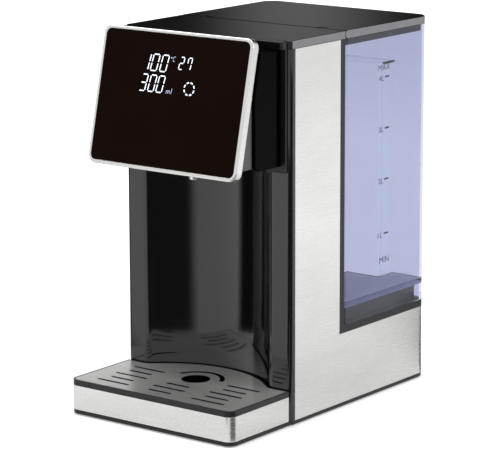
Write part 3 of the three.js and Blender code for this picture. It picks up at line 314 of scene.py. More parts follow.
def lathe(
    name: str, axis: Axis, centre: Point, profile: Sequence[Point], sides: int = ROUND_SIDES
) -> bpy.types.Object:
    """Solid turned about an axis.

    Args:
        name: Name of the piece.
        axis: Direction of the turning axis.
        centre: Where the axis stands in the other two directions.
        profile: Closed outline as radius and distance along the axis.
        sides: Steps round the turn.

    Returns:
        The closed mesh.
    """
    deselect()
    places = [axis.place(centre[0] + radius, centre[1], along) for radius, along in profile]
    bpy.ops.mesh.primitive_plane_add(size=MM, location=places[0])
    piece = named(name)
    with editing(piece):
        bpy.ops.mesh.merge(type="CENTER")
        for before, after in zip(places, [*places[1:], places[0]]):
            bpy.ops.mesh.extrude_region_move(TRANSFORM_OT_translate={"value": after - before})
        bpy.ops.mesh.select_all(action="SELECT")
        bpy.ops.mesh.remove_doubles(threshold=MERGE * MM)
        bpy.ops.mesh.spin(
            steps=sides, angle=2 * math.pi, center=axis.place(*centre, 0), axis=axis.place(0, 0, 1) / MM)
        bpy.ops.mesh.select_all(action="SELECT")
        bpy.ops.mesh.remove_doubles(threshold=MERGE * MM)
    return settle(piece)


def apply(piece: bpy.types.Object, kind: str, **settings: object) -> bpy.types.Object:
    """Adds a modifier with its settings and applies it.

    Args:
        piece: The piece.
        kind: The modifier's type.
        settings: The modifier's own properties.

    Returns:
        The piece.
    """
    activate(piece)
    modifier = piece.modifiers.new(kind.lower(), kind)
    for key, value in settings.items():
        setattr(modifier, key, value)
    bpy.ops.object.modifier_apply(modifier=modifier.name)
    return piece


def combine(piece: bpy.types.Object, how: Tool, *tools: bpy.types.Object) -> bpy.types.Object:
    """Joins tools to a piece, or cuts them from it, and deletes them.

    Args:
        piece: The piece that stays.
        how: Whether the tools are joined or cut.
        tools: The solids that are used up.

    Returns:
        The piece.
    """
    for tool in tools:
        apply(piece, "BOOLEAN", operation=how.value, object=tool, solver="EXACT")
        activate(tool)
        bpy.ops.object.delete()
    with editing(piece):
        bpy.ops.mesh.remove_doubles(threshold=MERGE * MM)
        bpy.ops.mesh.normals_make_consistent(inside=False)
    return piece


def cut(piece: bpy.types.Object, *tools: bpy.types.Object) -> bpy.types.Object:
    """Cuts the tools from a piece."""
    return combine(piece, Tool.CUT, *tools)


def join(piece: bpy.types.Object, *tools: bpy.types.Object) -> bpy.types.Object:
    """Joins the tools to a piece."""
    return combine(piece, Tool.JOIN, *tools)


def round_edges(
    piece: bpy.types.Object, width: float, test: Callable[[Vector, Vector], bool], segments: int = 6
) -> bpy.types.Object:
    """Bevels the edges that pass a test.

    Args:
        piece: The piece.
        width: How far the bevel reaches.
        test: Tells from an edge's two ends, in millimetres, whether it is bevelled.
        segments: Faces across the bevel.

    Returns:
        The piece.
    """
    mesh = piece.data
    for part in (mesh.polygons, mesh.edges, mesh.vertices):
        part.foreach_set("select", [False] * len(part))
    for edge in mesh.edges:
        ends = [mesh.vertices[i].co / MM for i in edge.vertices]
        if test(*ends):
            edge.select = True
            for i in edge.vertices:
                mesh.vertices[i].select = True
    bpy.context.tool_settings.mesh_select_mode = (False, True, False)
    with editing(piece, everything=False):
        bpy.ops.mesh.bevel(offset=width * MM, segments=segments, affect="EDGES")
    bpy.context.tool_settings.mesh_select_mode = (True, False, False)
    return piece


def soften(piece: bpy.types.Object, edge: Edge, segments: int = 2) -> bpy.types.Object:
    """Breaks every sharp edge with a small bevel, so that it catches the light, and shades the piece smooth.

    Args:
        piece: The piece.
        edge: How far its edges are broken.
        segments: Faces across the bevel.

    Returns:
        The piece.
    """
    sharp_from, smooth_to, flat_pull = math.radians(40), math.radians(42), 90
    if edge is not Edge.NONE:
        apply(
            piece, "BEVEL", width=edge.value * MM, segments=segments, limit_method="ANGLE",
            angle_limit=sharp_from, miter_outer="MITER_ARC", use_clamp_overlap=True)
    activate(piece)
    bpy.ops.object.shade_smooth_by_angle(angle=smooth_to)
    return apply(piece, "WEIGHTED_NORMAL", mode="FACE_AREA", weight=flat_pull, keep_sharp=True)


def copy_to(piece: bpy.types.Object, name: str, move: Sequence[float]) -> bpy.types.Object:
    """Copies a piece with its own mesh and moves the copy.

    Args:
        piece: The piece.
        name: Name of the copy.
        move: How far the copy is moved along X, Y and Z.

    Returns:
        The copy.
    """
    activate(piece)
    bpy.ops.object.duplicate(linked=False)
    bpy.ops.transform.translate(value=[value * MM for value in move])
    return settle(named(name))


# Finishes


def colour(code: str) -> tuple[float, float, float, float]:
    """Linear colour of an sRGB hex code such as a0b1c2.

    Args:
        code: Red, green and blue as three pairs of hex digits.

    Returns:
        The linear red, green and blue, and an alpha of 1.
    """
    shares = [int(code[i : i + 2], 16) / 255 for i in (0, 2, 4)]
    linear = [s / 12.92 if s <= 0.04045 else ((s + 0.055) / 1.055) ** 2.4 for s in shares]
    return (*linear, 1.0)


def add_node(tree: bpy.types.NodeTree, kind: str, inputs: dict | None = None, **settings: object) -> bpy.types.Node:
    """Adds a node with its settings, input values and links.

    Args:
        tree: The node tree.
        kind: The node's type.
        inputs: For each input by name or number, a value or the socket that feeds it.
        settings: The node's own properties.

    Returns:
        The node.
    """
    node = tree.nodes.new(kind)
    for key, value in settings.items():
        setattr(node, key, value)
    for key, value in (inputs or {}).items():
        if isinstance(value, bpy.types.NodeSocket):
            tree.links.new(value, node.inputs[key])
        else:
            node.inputs[key].default_value = value
    return node


@dataclass(frozen=True)
class Grain:
    """A noise in the object's own space, stretched by how long its spots are along X, Y and Z."""

    size: tuple[float, float, float]
    detail: float = 2.0
    roughness: float = 0.55

    def build(self, tree: bpy.types.NodeTree) -> bpy.types.NodeSocket:
        """Adds the noise's nodes.

        Args:
            tree: The node tree.

        Returns:
            The socket that gives the value.
        """
        place = add_node(tree, "ShaderNodeTexCoord")
        mapping = add_node(
            tree, "ShaderNodeMapping",
            {"Vector": place.outputs["Object"], "Scale": [1 / (length * MM) for length in self.size]})
        noise = add_node(
            tree, "ShaderNodeTexNoise",
            {"Vector": mapping.outputs["Vector"], "Scale": 1.0, "Detail": self.detail,
             "Roughness": self.roughness})
        return noise.outputs["Fac"]


@dataclass(frozen=True)
class Finish:
    """A surface: two tones mixed by large spots, and roughness and relief from a fine grain."""

    name: str
    slot: str
    dark: str
    light: str
    spots: Grain
    grain: Grain
    rough: tuple[float, float]
    relief: float
    values: tuple[tuple[str, float], ...] = ()

    def material(self) -> bpy.types.Material:
        """Returns the material, made the first time that it is asked for."""
        found = bpy.data.materials.get(f"{self.name}_finish")
        return found or self.make()

    def make(self) -> bpy.types.Material:
        """Makes the material's nodes.

        Returns:
            The material.
        """
        material = bpy.data.materials.new(f"{self.name}_finish")
        material.use_nodes = True
        tree = material.node_tree
        shader = tree.nodes["Principled BSDF"]
        spots = self.spots.build(tree)
        grain = self.grain.build(tree)
        low, high = 0.3, 0.7  # the range that nearly all of a noise lies in
        tone = add_node(
            tree, "ShaderNodeMix", {"Factor": spots, 6: colour(self.dark), 7: colour(self.light)}, data_type="RGBA")
        rough = add_node(
            tree, "ShaderNodeMapRange",
            {"Value": grain, "From Min": low, "From Max": high, "To Min": self.rough[0], "To Max": self.rough[1]})
        bump = add_node(
            tree, "ShaderNodeBump", {"Height": grain, "Strength": 1.0, "Distance": self.relief * MM})
        tree.links.new(self.tint(tree, tone.outputs[2]), shader.inputs["Base Color"])
        tree.links.new(rough.outputs["Result"], shader.inputs["Roughness"])
        tree.links.new(bump.outputs["Normal"], shader.inputs["Normal"])
        for key, value in self.values:
            shader.inputs[key].default_value = value
        self.extend(tree, shader, tone.outputs[2])
        return material

    def tint(self, tree: bpy.types.NodeTree, tone: bpy.types.NodeSocket) -> bpy.types.NodeSocket:
        """Returns the colour that reaches the shader, which a finish of its own kind may change."""
        return tone

    def extend(self, tree: bpy.types.NodeTree, shader: bpy.types.Node, tone: bpy.types.NodeSocket) -> None:
        """Adds what only one kind of finish has; a plain finish adds nothing."""


@dataclass(frozen=True)
class Glow(Finish):
    """A lit segment of the display."""

    strength: float = 1.0

    def extend(self, tree: bpy.types.NodeTree, shader: bpy.types.Node, tone: bpy.types.NodeSocket) -> None:
        """Lights the surface with its own colour."""
        tree.links.new(tone, shader.inputs["Emission Color"])
        shader.inputs["Emission Strength"].default_value = self.strength


@dataclass(frozen=True)
class Board(Finish):
    """A circuit board: copper tracks show as paler lines under the solder mask."""

    track: str = "3f8a55"
    pitch: float = 5.0
    track_from: float = 0.42
    track_full: float = 0.46

    def tint(self, tree: bpy.types.NodeTree, tone: bpy.types.NodeSocket) -> bpy.types.NodeSocket:
        """Mixes the tracks into the board's green.

        Args:
            tree: The node tree.
            tone: The plain green.

        Returns:
            The green with its tracks.
        """
        place = add_node(tree, "ShaderNodeTexCoord")
        cells = add_node(
            tree, "ShaderNodeTexVoronoi", {"Vector": place.outputs["Object"], "Scale": 1 / (self.pitch * MM)},
            distance="CHEBYCHEV", feature="F1")
        edge = add_node(
            tree, "ShaderNodeMapRange",
            {"Value": cells.outputs["Distance"], "From Min": self.track_from, "From Max": self.track_full})
        mixed = add_node(
            tree, "ShaderNodeMix", {"Factor": edge.outputs["Result"], 6: tone, 7: colour(self.track)},
            data_type="RGBA")
        return mixed.outputs[2]


# Stainless sheet, cold rolled and belt brushed round the body: hairlines run along the sheet, with faint clouds.
BRUSHED_STEEL = Finish(
    "brushed_steel", "brushed_steel", "cdcdcb", "dfdfdd", Grain((90, 90, 30), 3), Grain((60, 60, 0.5), 4),
    (0.24, 0.32), 0.0015, (("Metallic", 1.0), ("Anisotropic", 0.45)))
# The same sheet punched for the drip plate: hairlines run from side to side.
PLATE_STEEL = Finish(
    "plate_steel", "brushed_steel", "dededc", "f0f0ee", Grain((90, 6, 90), 3), Grain((60, 0.5, 60), 4),
    (0.33, 0.41), 0.004, (("Metallic", 0.85), ("Anisotropic", 0.3)))
# ABS moulded in a mirror-polished tool: nearly black, with the slight waviness that moulded gloss has.
GLOSS_BLACK = Finish(
    "gloss_black", "gloss_black", "030303", "050506", Grain((40, 40, 40)), Grain((55, 55, 120), 1),
    (0.05, 0.09), 0.012, (("Specular IOR Level", 0.62),))
# The head's ABS has a finer, darker polish, which gives back less of the room.
# A copy of the gloss black for the head with its reflection turned nearly off: painted shade, so that the head
# renders nearly black beside the column's gloss.
HEAD_SHADED_BLACK = Finish(
    "head_shaded_black", "gloss_black", "020202", "030303", Grain((40, 40, 40)), Grain((30, 30, 30), 1),
    (0.12, 0.2), 0.004, (("Specular IOR Level", 0.02),))
# ABS from a spark-eroded tool: a fine even grain that breaks the shine.
SATIN_BLACK = Finish(
    "satin_black", "satin_black", "111112", "1a1a1b", Grain((15, 15, 15)), Grain((0.35, 0.35, 0.35), 1),
    (0.3, 0.42), 0.006, (("Specular IOR Level", 0.35),))
COVER_GREY = Finish(
    "cover_grey", "cover_grey", "050505", "080808", Grain((30, 30, 30)), Grain((0.4, 0.4, 0.4), 1),
    (0.26, 0.34), 0.003, (("Specular IOR Level", 0.4),))
# The two flat sides of the cover and the lid: the same grain in a paler grey, partly the band's own paint
# and partly a painted reflection that sets them off from the dark top.
COVER_BAND_SHEEN = Finish(
    "cover_band_sheen", "cover_grey", "76767a", "808084", Grain((30, 30, 30)), Grain((0.4, 0.4, 0.4), 1),
    (0.3, 0.4), 0.003, (("Specular IOR Level", 0.4),))
# Painted shade on the walls inside the punched slots: near black and rough, so that each slot shows as the dark
# depth below it.
SLOT_SHADE = Finish(
    "slot_shade", "brushed_steel", "101010", "181818", Grain((6, 6, 6)), Grain((0.4, 0.4, 0.4), 1), (0.6, 0.7), 0.003,
    (("Specular IOR Level", 0.2),))
CRADLE_GREY = Finish(
    "cradle_grey", "cradle_grey", "1d1e21", "242528", Grain((20, 20, 20)), Grain((0.4, 0.4, 0.4), 1),
    (0.38, 0.5), 0.006, (("Specular IOR Level", 0.3),))
SHELL_GREY = Finish(
    "shell_grey", "shell_grey", "3e3e3e", "494949", Grain((20, 20, 20)), Grain((0.4, 0.4, 0.4), 1),
    (0.3, 0.42), 0.005)
# Zinc die casting, plated bright: mirror-like, a little softened by its polish.
BRIGHT_FRAME = Finish(
    "bright_frame", "bright_frame", "cfcfcd", "dadad8", Grain((25, 25, 25)), Grain((3, 3, 3), 2),
    (0.14, 0.22), 0.001, (("Metallic", 0.9),))
# Toughened sheet glass, printed black-brown behind: what shows is the print under a weak reflection.
DARK_GLASS = Finish(
    "dark_glass", "dark_glass", "150a07", "1a0f0b", Grain((70, 70, 70)), Grain((40, 40, 40), 1),
    (0.03, 0.06), 0.001, (("Specular IOR Level", 0.01), ("IOR", 1.5)))
# Tinted SAN, moulded clear: blue-grey in its thickness, with slight flow waves on the walls. Its IOR is matched to
# the object, because the typical 1.57 draws hard dark lines at the grip recess that the real tank doesn't show.
TANK_BLUE = Finish(
    "tank_blue", "tank_blue", "cbcee2", "d1d4e6", Grain((60, 60, 60)), Grain((35, 35, 70), 1),
    (0.0, 0.015), 0.002, (("Transmission Weight", 1.0), ("IOR", 1.33)))
# The underside of the tank's floor, frosted and nearly opaque in a pale blue: partly the blasted plastic's own
# look and partly painted light, a pale strip that stands in for the light that the floor gathers.
TANK_FROST_GLOW = Finish(
    "tank_frost_glow", "tank_blue", "ced6ff", "d8dfff", Grain((25, 25, 25)), Grain((0.5, 0.5, 0.5), 1),
    (0.5, 0.6), 0.003, (("Transmission Weight", 0.1), ("Specular IOR Level", 0.2)))
# Pad-printed ink on the tank.
MARK_INK = Finish(
    "mark_ink", "tank_blue", "30344a", "41465c", Grain((1.5, 1.5, 1.5)), Grain((0.3, 0.3, 0.3), 1),
    (0.45, 0.6), 0.002)
# White light-emitting segments behind the glass.
LIT_WHITE = Glow(
    "lit_white", "dark_glass", "dfe9ff", "f6faff", Grain((3, 3, 3)), Grain((1, 1, 1), 1), (0.5, 0.6), 0.0, (), 0.8)
LIT_SOFT = Glow(
    "lit_soft", "dark_glass", "8f9ab4", "b2bdd4", Grain((3, 3, 3)), Grain((1, 1, 1), 1), (0.5, 0.6), 0.0, (), 0.7)
FOOT_RUBBER = Finish(
    "foot_rubber", "foot_rubber", "141414", "1e1e1e", Grain((6, 6, 6)), Grain((0.25, 0.25, 0.25), 2),
    (0.7, 0.85), 0.012, (("Specular IOR Level", 0.3),))
WHITE_PLASTIC = Finish(
    "white_plastic", "white_plastic", "d2d2d0", "dedede", Grain((12, 12, 12)), Grain((0.5, 0.5, 0.5), 1),
    (0.38, 0.5), 0.004)
BOARD_GREEN = Board(
    "board_green", "board_green", "1a4d2c", "20603a", Grain((18, 18, 18)), Grain((0.6, 0.6, 0.6), 2),
    (0.35, 0.5), 0.01)
# Extruded food-grade silicone: milky, soft gloss.
SILICONE = Finish(
    "silicone", "silicone", "cfcabf", "dcd8ce", Grain((8, 8, 8)), Grain((0.8, 0.8, 0.8), 1),
    (0.4, 0.5), 0.004, (("Transmission Weight", 0.35), ("Subsurface Weight", 0.2)))
# Drawn steel with a thin zinc plate: pale grey with the plate's spangled tone.
ZINC_STEEL = Finish(
    "zinc_steel", "zinc_steel", "8f8f8c", "adada9", Grain((2.5, 2.5, 2.5), 3), Grain((0.6, 0.6, 0.6), 2),
    (0.3, 0.45), 0.004, (("Metallic", 1.0),))


def dress(piece: bpy.types.Object, finish: Finish, body: str, *nodes: str) -> bpy.types.Object:
    """Gives a piece its finish, its body and the CAD nodes that it stands for.

    Args:
        piece: The piece, in place.
        finish: Its surface.
        body: The CAD body that it moves with.
        nodes: The CAD nodes that it replaces.

    Returns:
        The piece.
    """
    piece.data.materials.clear()
    piece.data.materials.append(finish.material())
    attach(piece, body)
    if nodes:
        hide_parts(*nodes)
    LOG.info("%s rides on %s with %d faces", piece.name, body, len(piece.data.polygons))
    return piece


def dress_faces(piece: bpy.types.Object, finish: Finish, test: Callable[[Vector, Vector], bool]) -> None:
    """Gives some faces of a dressed piece a finish of their own.

    Args:
        piece: The piece.
        finish: Their surface.
        test: Tells from a face's middle, in millimetres, and its normal whether it is one of them.
    """
    piece.data.materials.append(finish.material())
    index = len(piece.data.materials) - 1
    for face in piece.data.polygons:
        if test(face.center / MM, face.normal):
            face.material_index = index


# Outlines that more than one piece shares


@dataclass(frozen=True)
class Plan:
    """Plan of the machine, seen from above."""

    half: float = 90.0
    face_y: float = -65.4
    rear_y: float = 145.0
    rear_corner: float = 13.5
    column_corner: float = 4.0
    recess_radius: float = 94.2
    recess_centre_y: float = -131.0
    recess_edge: float = 10.0
    steel_front_y: float = -58.9
    bay_front_y: float = 6.8
    bay_rear_y: float = 13.0
    shell_top: float = 325.9
    body_low: float = 4.3
    spout_y: float = -82.3
    port: Point = (-30.0, 60.0)

    def on_side(self, at: Vector, normal: Vector) -> bool:
        """Tells whether a face lies on one of the body's two flat sides."""
        sideways = 0.7
        return abs(at.x) > self.half - PLAY and abs(normal.x) > sideways

    def recess(self, offset: float) -> list[Point]:
        """Line of the recessed column face.

        Args:
            offset: How far the line is moved back.

        Returns:
            The points from left to right.
        """
        edge_y = self.face_y + self.recess_edge
        edge_x = math.sqrt((self.recess_radius + self.recess_edge) ** 2 - (edge_y - self.recess_centre_y) ** 2)
        lean = math.atan2(edge_y - self.recess_centre_y, edge_x)
        small = self.recess_edge - offset
        return [
            *arc((-edge_x, edge_y), small, -math.pi / 2, -lean),
            *arc((0, self.recess_centre_y), self.recess_radius + offset, math.pi - lean, lean)[1:-1],
            *arc((edge_x, edge_y), small, lean - math.pi, -math.pi / 2)]

    def side_and_rear(self, inset: float, wall: float, front_y: float) -> list[Point]:
        """Outline of a U that follows the sides and the rear.

        Args:
            inset: How far it lies inside the body's outline.
            wall: Its thickness.
            front_y: Where its two legs end.

        Returns:
            The points.
        """
        outer = self.half - inset
        inner = outer - wall
        back = self.rear_y - inset
        radius = self.rear_corner - inset
        return rounded([
            (-outer, front_y, 0), (-inner, front_y, 0), (-inner, back - wall, radius - wall),
            (inner, back - wall, radius - wall), (inner, front_y, 0), (outer, front_y, 0),
            (outer, back, radius), (-outer, back, radius)])

    def rear_block(self, inset: float, front_y: float, front_corner: float) -> list[Point]:
        """Outline of the rear of the body from a front line on, drawn in by an inset.

        Args:
            inset: How far it is drawn in at the sides and the rear.
            front_y: Its front line.
            front_corner: Radius of its two front corners.

        Returns:
            The points.
        """
        half = self.half - inset
        back = self.rear_y - inset
        radius = self.rear_corner - inset
        return rounded([
            (-half, front_y, front_corner), (half, front_y, front_corner),
            (half, back, radius), (-half, back, radius)])


PLAN = Plan()


@dataclass(frozen=True)
class Housing:
    """Steel wrap, column moulding, tank cradle, top cover, feet and cord gland."""

    sheet: float = 0.8
    steel_step: float = 67.0
    bay_high: float = 330.0
    column_wall: float = 2.5
    column_lap: float = 14.0
    window_half: float = 34.0
    window_low: float = 240.0
    window_high: float = 300.0
    cradle_low: float = 67.3
    cradle_high: float = 73.2
    plateau_half: float = 82.0
    plateau_front: float = 21.3
    plateau_back: float = 114.0
    plateau_top: float = 88.0
    ear_inner: float = 56.0
    ear_back: float = 136.0
    plateau_wall: float = 2.5
    plateau_corner: float = 4.0
    plateau_least_corner: float = 1.0
    plateau_round: float = 1.5
    cup_radius: float = 11.8
    cup_low: float = 73.8
    cup_high: float = 87.0
    well_radius: float = 9.6
    well_low: float = 76.0
    well_high: float = 95.0
    pin_radius: float = 1.5
    pin_low: float = 75.0
    pin_high: float = 83.2
    post_radius: float = 4.5
    post_x: float = 70.0
    post_front_y: float = 30.3
    post_rear_y: float = 110.0
    cover_low: float = 326.2
    cover_high: float = 333.0
    cover_wall: float = 2.2
    cover_round: float = 1.1
    tongue_half: float = 86.6
    tongue_front: float = -73.3
    tongue_corner: float = 2.5
    foot_x: float = 70.0
    foot_y: float = 125.0
    foot_sides: int = 64
    gland: Point = (-60.0, 30.0)
    gland_hole: float = 7.0
    gland_reach: float = 5.0
    gland_sides: int = 72

    def build(self) -> None:
        """Builds and dresses every piece of the housing."""
        self.steel()
        self.column()
        self.cradle()
        self.cover()
        self.feet()
        self.cord_gland()

    def steel(self) -> None:
        """Bends the steel sheet round the sides and the rear and steps it down under the tank."""
        wrap = prism(
            "steel_sides", [PLAN.side_and_rear(0, self.sheet, PLAN.steel_front_y)], Axis.Z,
            PLAN.body_low, PLAN.shell_top)
        bay = box(
            "bay", (-PLAN.half - OVER, PLAN.bay_front_y - PLAY, self.steel_step),
            (PLAN.half + OVER, PLAN.rear_y + OVER, self.bay_high))
        hole = rod(
            "hole", Axis.Y, self.gland, self.gland_hole, PLAN.rear_y - self.gland_reach,
            PLAN.rear_y + self.gland_reach)
        dress(soften(cut(wrap, bay, hole), Edge.CRISP), BRUSHED_STEEL, "machine", "steel_wrap")

    def column(self) -> None:
        """Moulds the column with its hollow front, its two returns and the laps behind the steel."""
        inside = PLAN.half - self.sheet - PLAY
        inner = inside - self.column_wall
        back = PLAN.steel_front_y - PLAY
        lap = PLAN.steel_front_y + self.column_lap
        front = rounded([
            (-PLAN.half, back, 0), (-PLAN.half, PLAN.face_y, PLAN.column_corner), (0, PLAN.face_y, 0)])[:-1]
        mirrored = [(-x, y) for x, y in reversed(front)]
        rear = [
            (inside, back), (inside, lap), (inner, lap), (inner, PLAN.face_y + self.column_wall),
            *reversed(PLAN.recess(self.column_wall)), (-inner, PLAN.face_y + self.column_wall),
            (-inner, lap), (-inside, lap), (-inside, back)]
        column = prism(
            "column", [[*front, *PLAN.recess(0), *mirrored, *rear]], Axis.Z, PLAN.body_low, PLAN.shell_top)
        window = box(
            "window", (-self.window_half, PLAN.face_y - OVER, self.window_low),
            (self.window_half, PLAN.bay_front_y - PLAY, self.window_high))
        dress(soften(cut(column, window), Edge.MILD), GLOSS_BLACK, "machine", "column_front")

    def cradle(self) -> None:
        """Moulds the cradle: ledge, wall behind the column, and the plateau with the valve's port."""
        ledge = prism(
            "cradle", [PLAN.rear_block(0, PLAN.bay_front_y, 0)], Axis.Z, self.cradle_low, self.cradle_high)
        wall = box(
            "wall", (-PLAN.half, PLAN.bay_front_y, self.cradle_low + OVER),
            (PLAN.half, PLAN.bay_rear_y, PLAN.shell_top))
        plateau = prism("plateau", [self.plateau(0)], Axis.Z, self.cradle_low + OVER, self.plateau_top)
        top = self.plateau_top - NEAR
        round_edges(plateau, self.plateau_round, lambda a, b: a.z > top and b.z > top)
        hollow = prism(
            "hollow", [self.plateau(self.plateau_wall)], Axis.Z, self.cradle_low - OVER,
            self.plateau_top - self.plateau_wall)
        cup = rod("cup", Axis.Z, PLAN.port, self.cup_radius, self.cup_low, self.cup_high)
        shell = join(cut(join(ledge, wall, plateau), hollow), cup)
        cut(shell, rod("well", Axis.Z, PLAN.port, self.well_radius, self.well_low, self.well_high))
        pin = rod("pin", Axis.Z, PLAN.port, self.pin_radius, self.pin_low, self.pin_high)
        posts = [
            rod("post", Axis.Z, (x, y), self.post_radius, PLAN.body_low, self.plateau_top - OVER)
            for x in (-self.post_x, self.post_x) for y in (self.post_front_y, self.post_rear_y)]
        join(shell, pin, *posts)
        dress(soften(shell, Edge.SOFT), CRADLE_GREY, "machine", "tank_cradle")

    def plateau(self, inset: float) -> list[Point]:
        """Outline of the plateau, which has an ear at each side of the tank's grip recess.

        Args:
            inset: How far it is drawn in.

        Returns:
            The points.
        """
        half = self.plateau_half - inset
        front = self.plateau_front + inset
        inner, back, ear = self.ear_inner + inset, self.plateau_back - inset, self.ear_back - inset
        corner = max(self.plateau_corner - inset, self.plateau_least_corner)
        return rounded([
            (-half, front, corner), (half, front, corner), (half, ear, corner), (inner, ear, corner),
            (inner, back, corner), (-inner, back, corner), (-inner, ear, corner), (-half, ear, corner)])

    def cover(self) -> None:
        """Moulds the top cover with its tongue over the head, open below."""
        def outline(inset: float) -> list[Point]:
            """Outline of the cover drawn in by an inset.

            Args:
                inset: How far it is drawn in.

            Returns:
                The points.
            """
            half = PLAN.half - inset
            tongue = self.tongue_half - inset
            corner = PLAN.column_corner - inset
            front = self.tongue_front + inset
            step = PLAN.face_y + inset
            back = PLAN.bay_rear_y - inset
            return rounded([
                (-half, back, 0), (-half, step, corner), (-tongue, step, 0), (-tongue, front, self.tongue_corner),
                (tongue, front, self.tongue_corner), (tongue, step, 0), (half, step, corner), (half, back, 0)])

        cover = prism("cover", [outline(0)], Axis.Z, self.cover_low, self.cover_high)
        high = self.cover_high - NEAR
        rear = PLAN.bay_rear_y - NEAR
        round_edges(
            cover, self.cover_round,
            lambda a, b: a.z > high and b.z > high and not (a.y > rear and b.y > rear), 4)
        hollow = prism(
            "hollow", [outline(self.cover_wall)], Axis.Z, self.cover_low - OVER, self.cover_high - self.cover_wall)
        dress(soften(cut(cover, hollow), Edge.CRISP), COVER_GREY, "machine", "top_cover")
        # The two flat sides get the paler band finish: partly its own paint, partly a painted reflection.
        dress_faces(cover, COVER_BAND_SHEEN, PLAN.on_side)

    def feet(self) -> None:
        """Moulds one rubber foot and copies it to the other three corners."""
        profile = [(0, 0.6), (4.6, 0.6), (5.2, 0), (7.2, 0), (8, 0.8), (8, 2.2), (0, 2.2)]
        first = lathe("foot_front_left_pad", Axis.Z, (-self.foot_x, -self.foot_y), profile, self.foot_sides)
        soften(first, Edge.FINE)
        pads = {"foot_front_left": first}
        across, along = 2 * self.foot_x, 2 * self.foot_y
        for name, move in (
            ("foot_front_right", (across, 0, 0)), ("foot_rear_left", (0, along, 0)),
            ("foot_rear_right", (across, along, 0)),
        ):
            pads[name] = copy_to(first, f"{name}_pad", move)
        for name, pad in pads.items():
            dress(pad, FOOT_RUBBER, "machine", name)

    def cord_gland(self) -> None:
        """Turns the cord gland: an inner flange, a neck and an outer flange with a raised lip round its bore."""
        profile = [
            (4, 140.3), (10, 140.3), (10, 143.9), (6.7, 143.9), (6.7, 145.3), (11, 145.3), (11, 146.2),
            (10.3, 146.7), (7.4, 146.7), (6.9, 146.3), (6.3, 146.3), (5.9, 147), (4.6, 147), (4, 146.4)]
        gland = lathe("gland", Axis.Y, self.gland, profile, self.gland_sides)
        dress(soften(gland, Edge.KEEN), FOOT_RUBBER, "machine", "cord_gland")


@dataclass(frozen=True)
class Head:
    """Glossy housing over the spout, the bracket that carries it, and the spout."""

    half: float = 82.0
    low: float = 226.7
    front_y: float = -104.8
    rear_y: float = -68.9
    wall: float = 2.5
    lower_corner: float = 5.0
    side_round: float = 1.2
    behind_panel: float = 1.0
    spout_hole: float = 4.8
    cable_half: float = 15.0
    cable_low: float = 245.0
    cable_high: float = 260.0
    through: float = 4.0
    bracket_half: float = 86.6
    bracket_low: float = 221.0
    bracket_front_y: float = -68.6
    bracket_rear_y: float = -65.7
    rail_inner: float = 66.0
    shelf_low: float = 224.0
    shelf_high: float = 227.0
    window_half: float = 60.0
    window_low: float = 234.7
    window_margin: float = 8.0

    def build(self) -> None:
        """Builds and dresses the head."""
        self.housing()
        self.bracket()
        self.spout()

    def profile(self, inset: float, rear: float) -> list[Point]:
        """Side outline of the housing, under the tilted panel.

        Args:
            inset: How far it is drawn in.
            rear: Where it ends at the rear.

        Returns:
            The points, as Y and Z.
        """
        front = self.front_y + inset
        low = self.low + inset
        high = PLAN.shell_top - inset
        return rounded([
            (rear, low, 0), (front, low, max(self.lower_corner - inset, 0)),
            (front, PANEL.height_behind(front, self.behind_panel + inset), 0),
            (PANEL.plane_behind(high, self.behind_panel + inset), high, 0), (rear, high, 0)])

    def housing(self) -> None:
        """Moulds the housing, open at the rear, with the spout's hole and the cable's window."""
        housing = prism("head", [self.profile(0, self.rear_y)], Axis.X, -self.half, self.half)
        front, side = self.rear_y - NEAR, self.half - NEAR
        round_edges(
            housing, self.side_round,
            lambda a, b: abs(a.x) > side and abs(b.x) > side and a.x * b.x > 0 and min(a.y, b.y) < front, 4)
        inner = self.half - self.wall
        hollow = prism("hollow", [self.profile(self.wall, self.rear_y + OVER)], Axis.X, -inner, inner)
        hole = rod(
            "hole", Axis.Z, (0, PLAN.spout_y), self.spout_hole, self.low - OVER, self.low + self.through)
        window = box(
            "window", (-self.cable_half, self.front_y - OVER, self.cable_low),
            (self.cable_half, self.front_y + self.through, self.cable_high))
        # The housing gets the shaded copy of the gloss black: painted shade.
        dress(soften(cut(housing, hollow, hole, window), Edge.CRISP), HEAD_SHADED_BLACK, "machine", "head_shell")

    def bracket(self) -> None:
        """Cuts the bracket plate with its two rails and window, and joins its shelf."""
        half, low, high = self.bracket_half, self.bracket_low, PLAN.shell_top
        front, rear, rail, step = self.bracket_front_y, self.bracket_rear_y, self.rail_inner, self.shelf_low
        plate = prism("bracket", [[
            (-half, low), (-rail, low), (-rail, step), (rail, step), (rail, low), (half, low), (half, high),
            (-half, high)]], Axis.Y, front, rear)
        window = box(
            "window", (-self.window_half, front - OVER, self.window_low),
            (self.window_half, rear + OVER, high - self.window_margin))
        line = PLAN.recess(-PLAY)
        shelf = prism(
            "shelf", [[(line[0][0], front), *line, (line[-1][0], front)]], Axis.Z, self.shelf_low, self.shelf_high)
        dress(soften(join(cut(plate, window), shelf), Edge.MILD), SATIN_BLACK, "machine", "head_bracket")

    def spout(self) -> None:
        """Turns the bright spout with its collar and rounded tip."""
        profile = [
            (3, 209.1), (3.4, 208.6), (3.9, 208.5), (4.3, 208.8), (4.5, 209.5), (4.5, 223.2), (5.2, 223.9),
            (7.2, 224.2), (7.8, 224.7), (8, 225.4), (8, 226.4), (4.5, 226.4), (4.5, 233), (3, 233)]
        spout = lathe("nozzle", Axis.Z, (0, PLAN.spout_y), profile)
        dress(soften(spout, Edge.NONE), BRIGHT_FRAME, "machine", "spout")


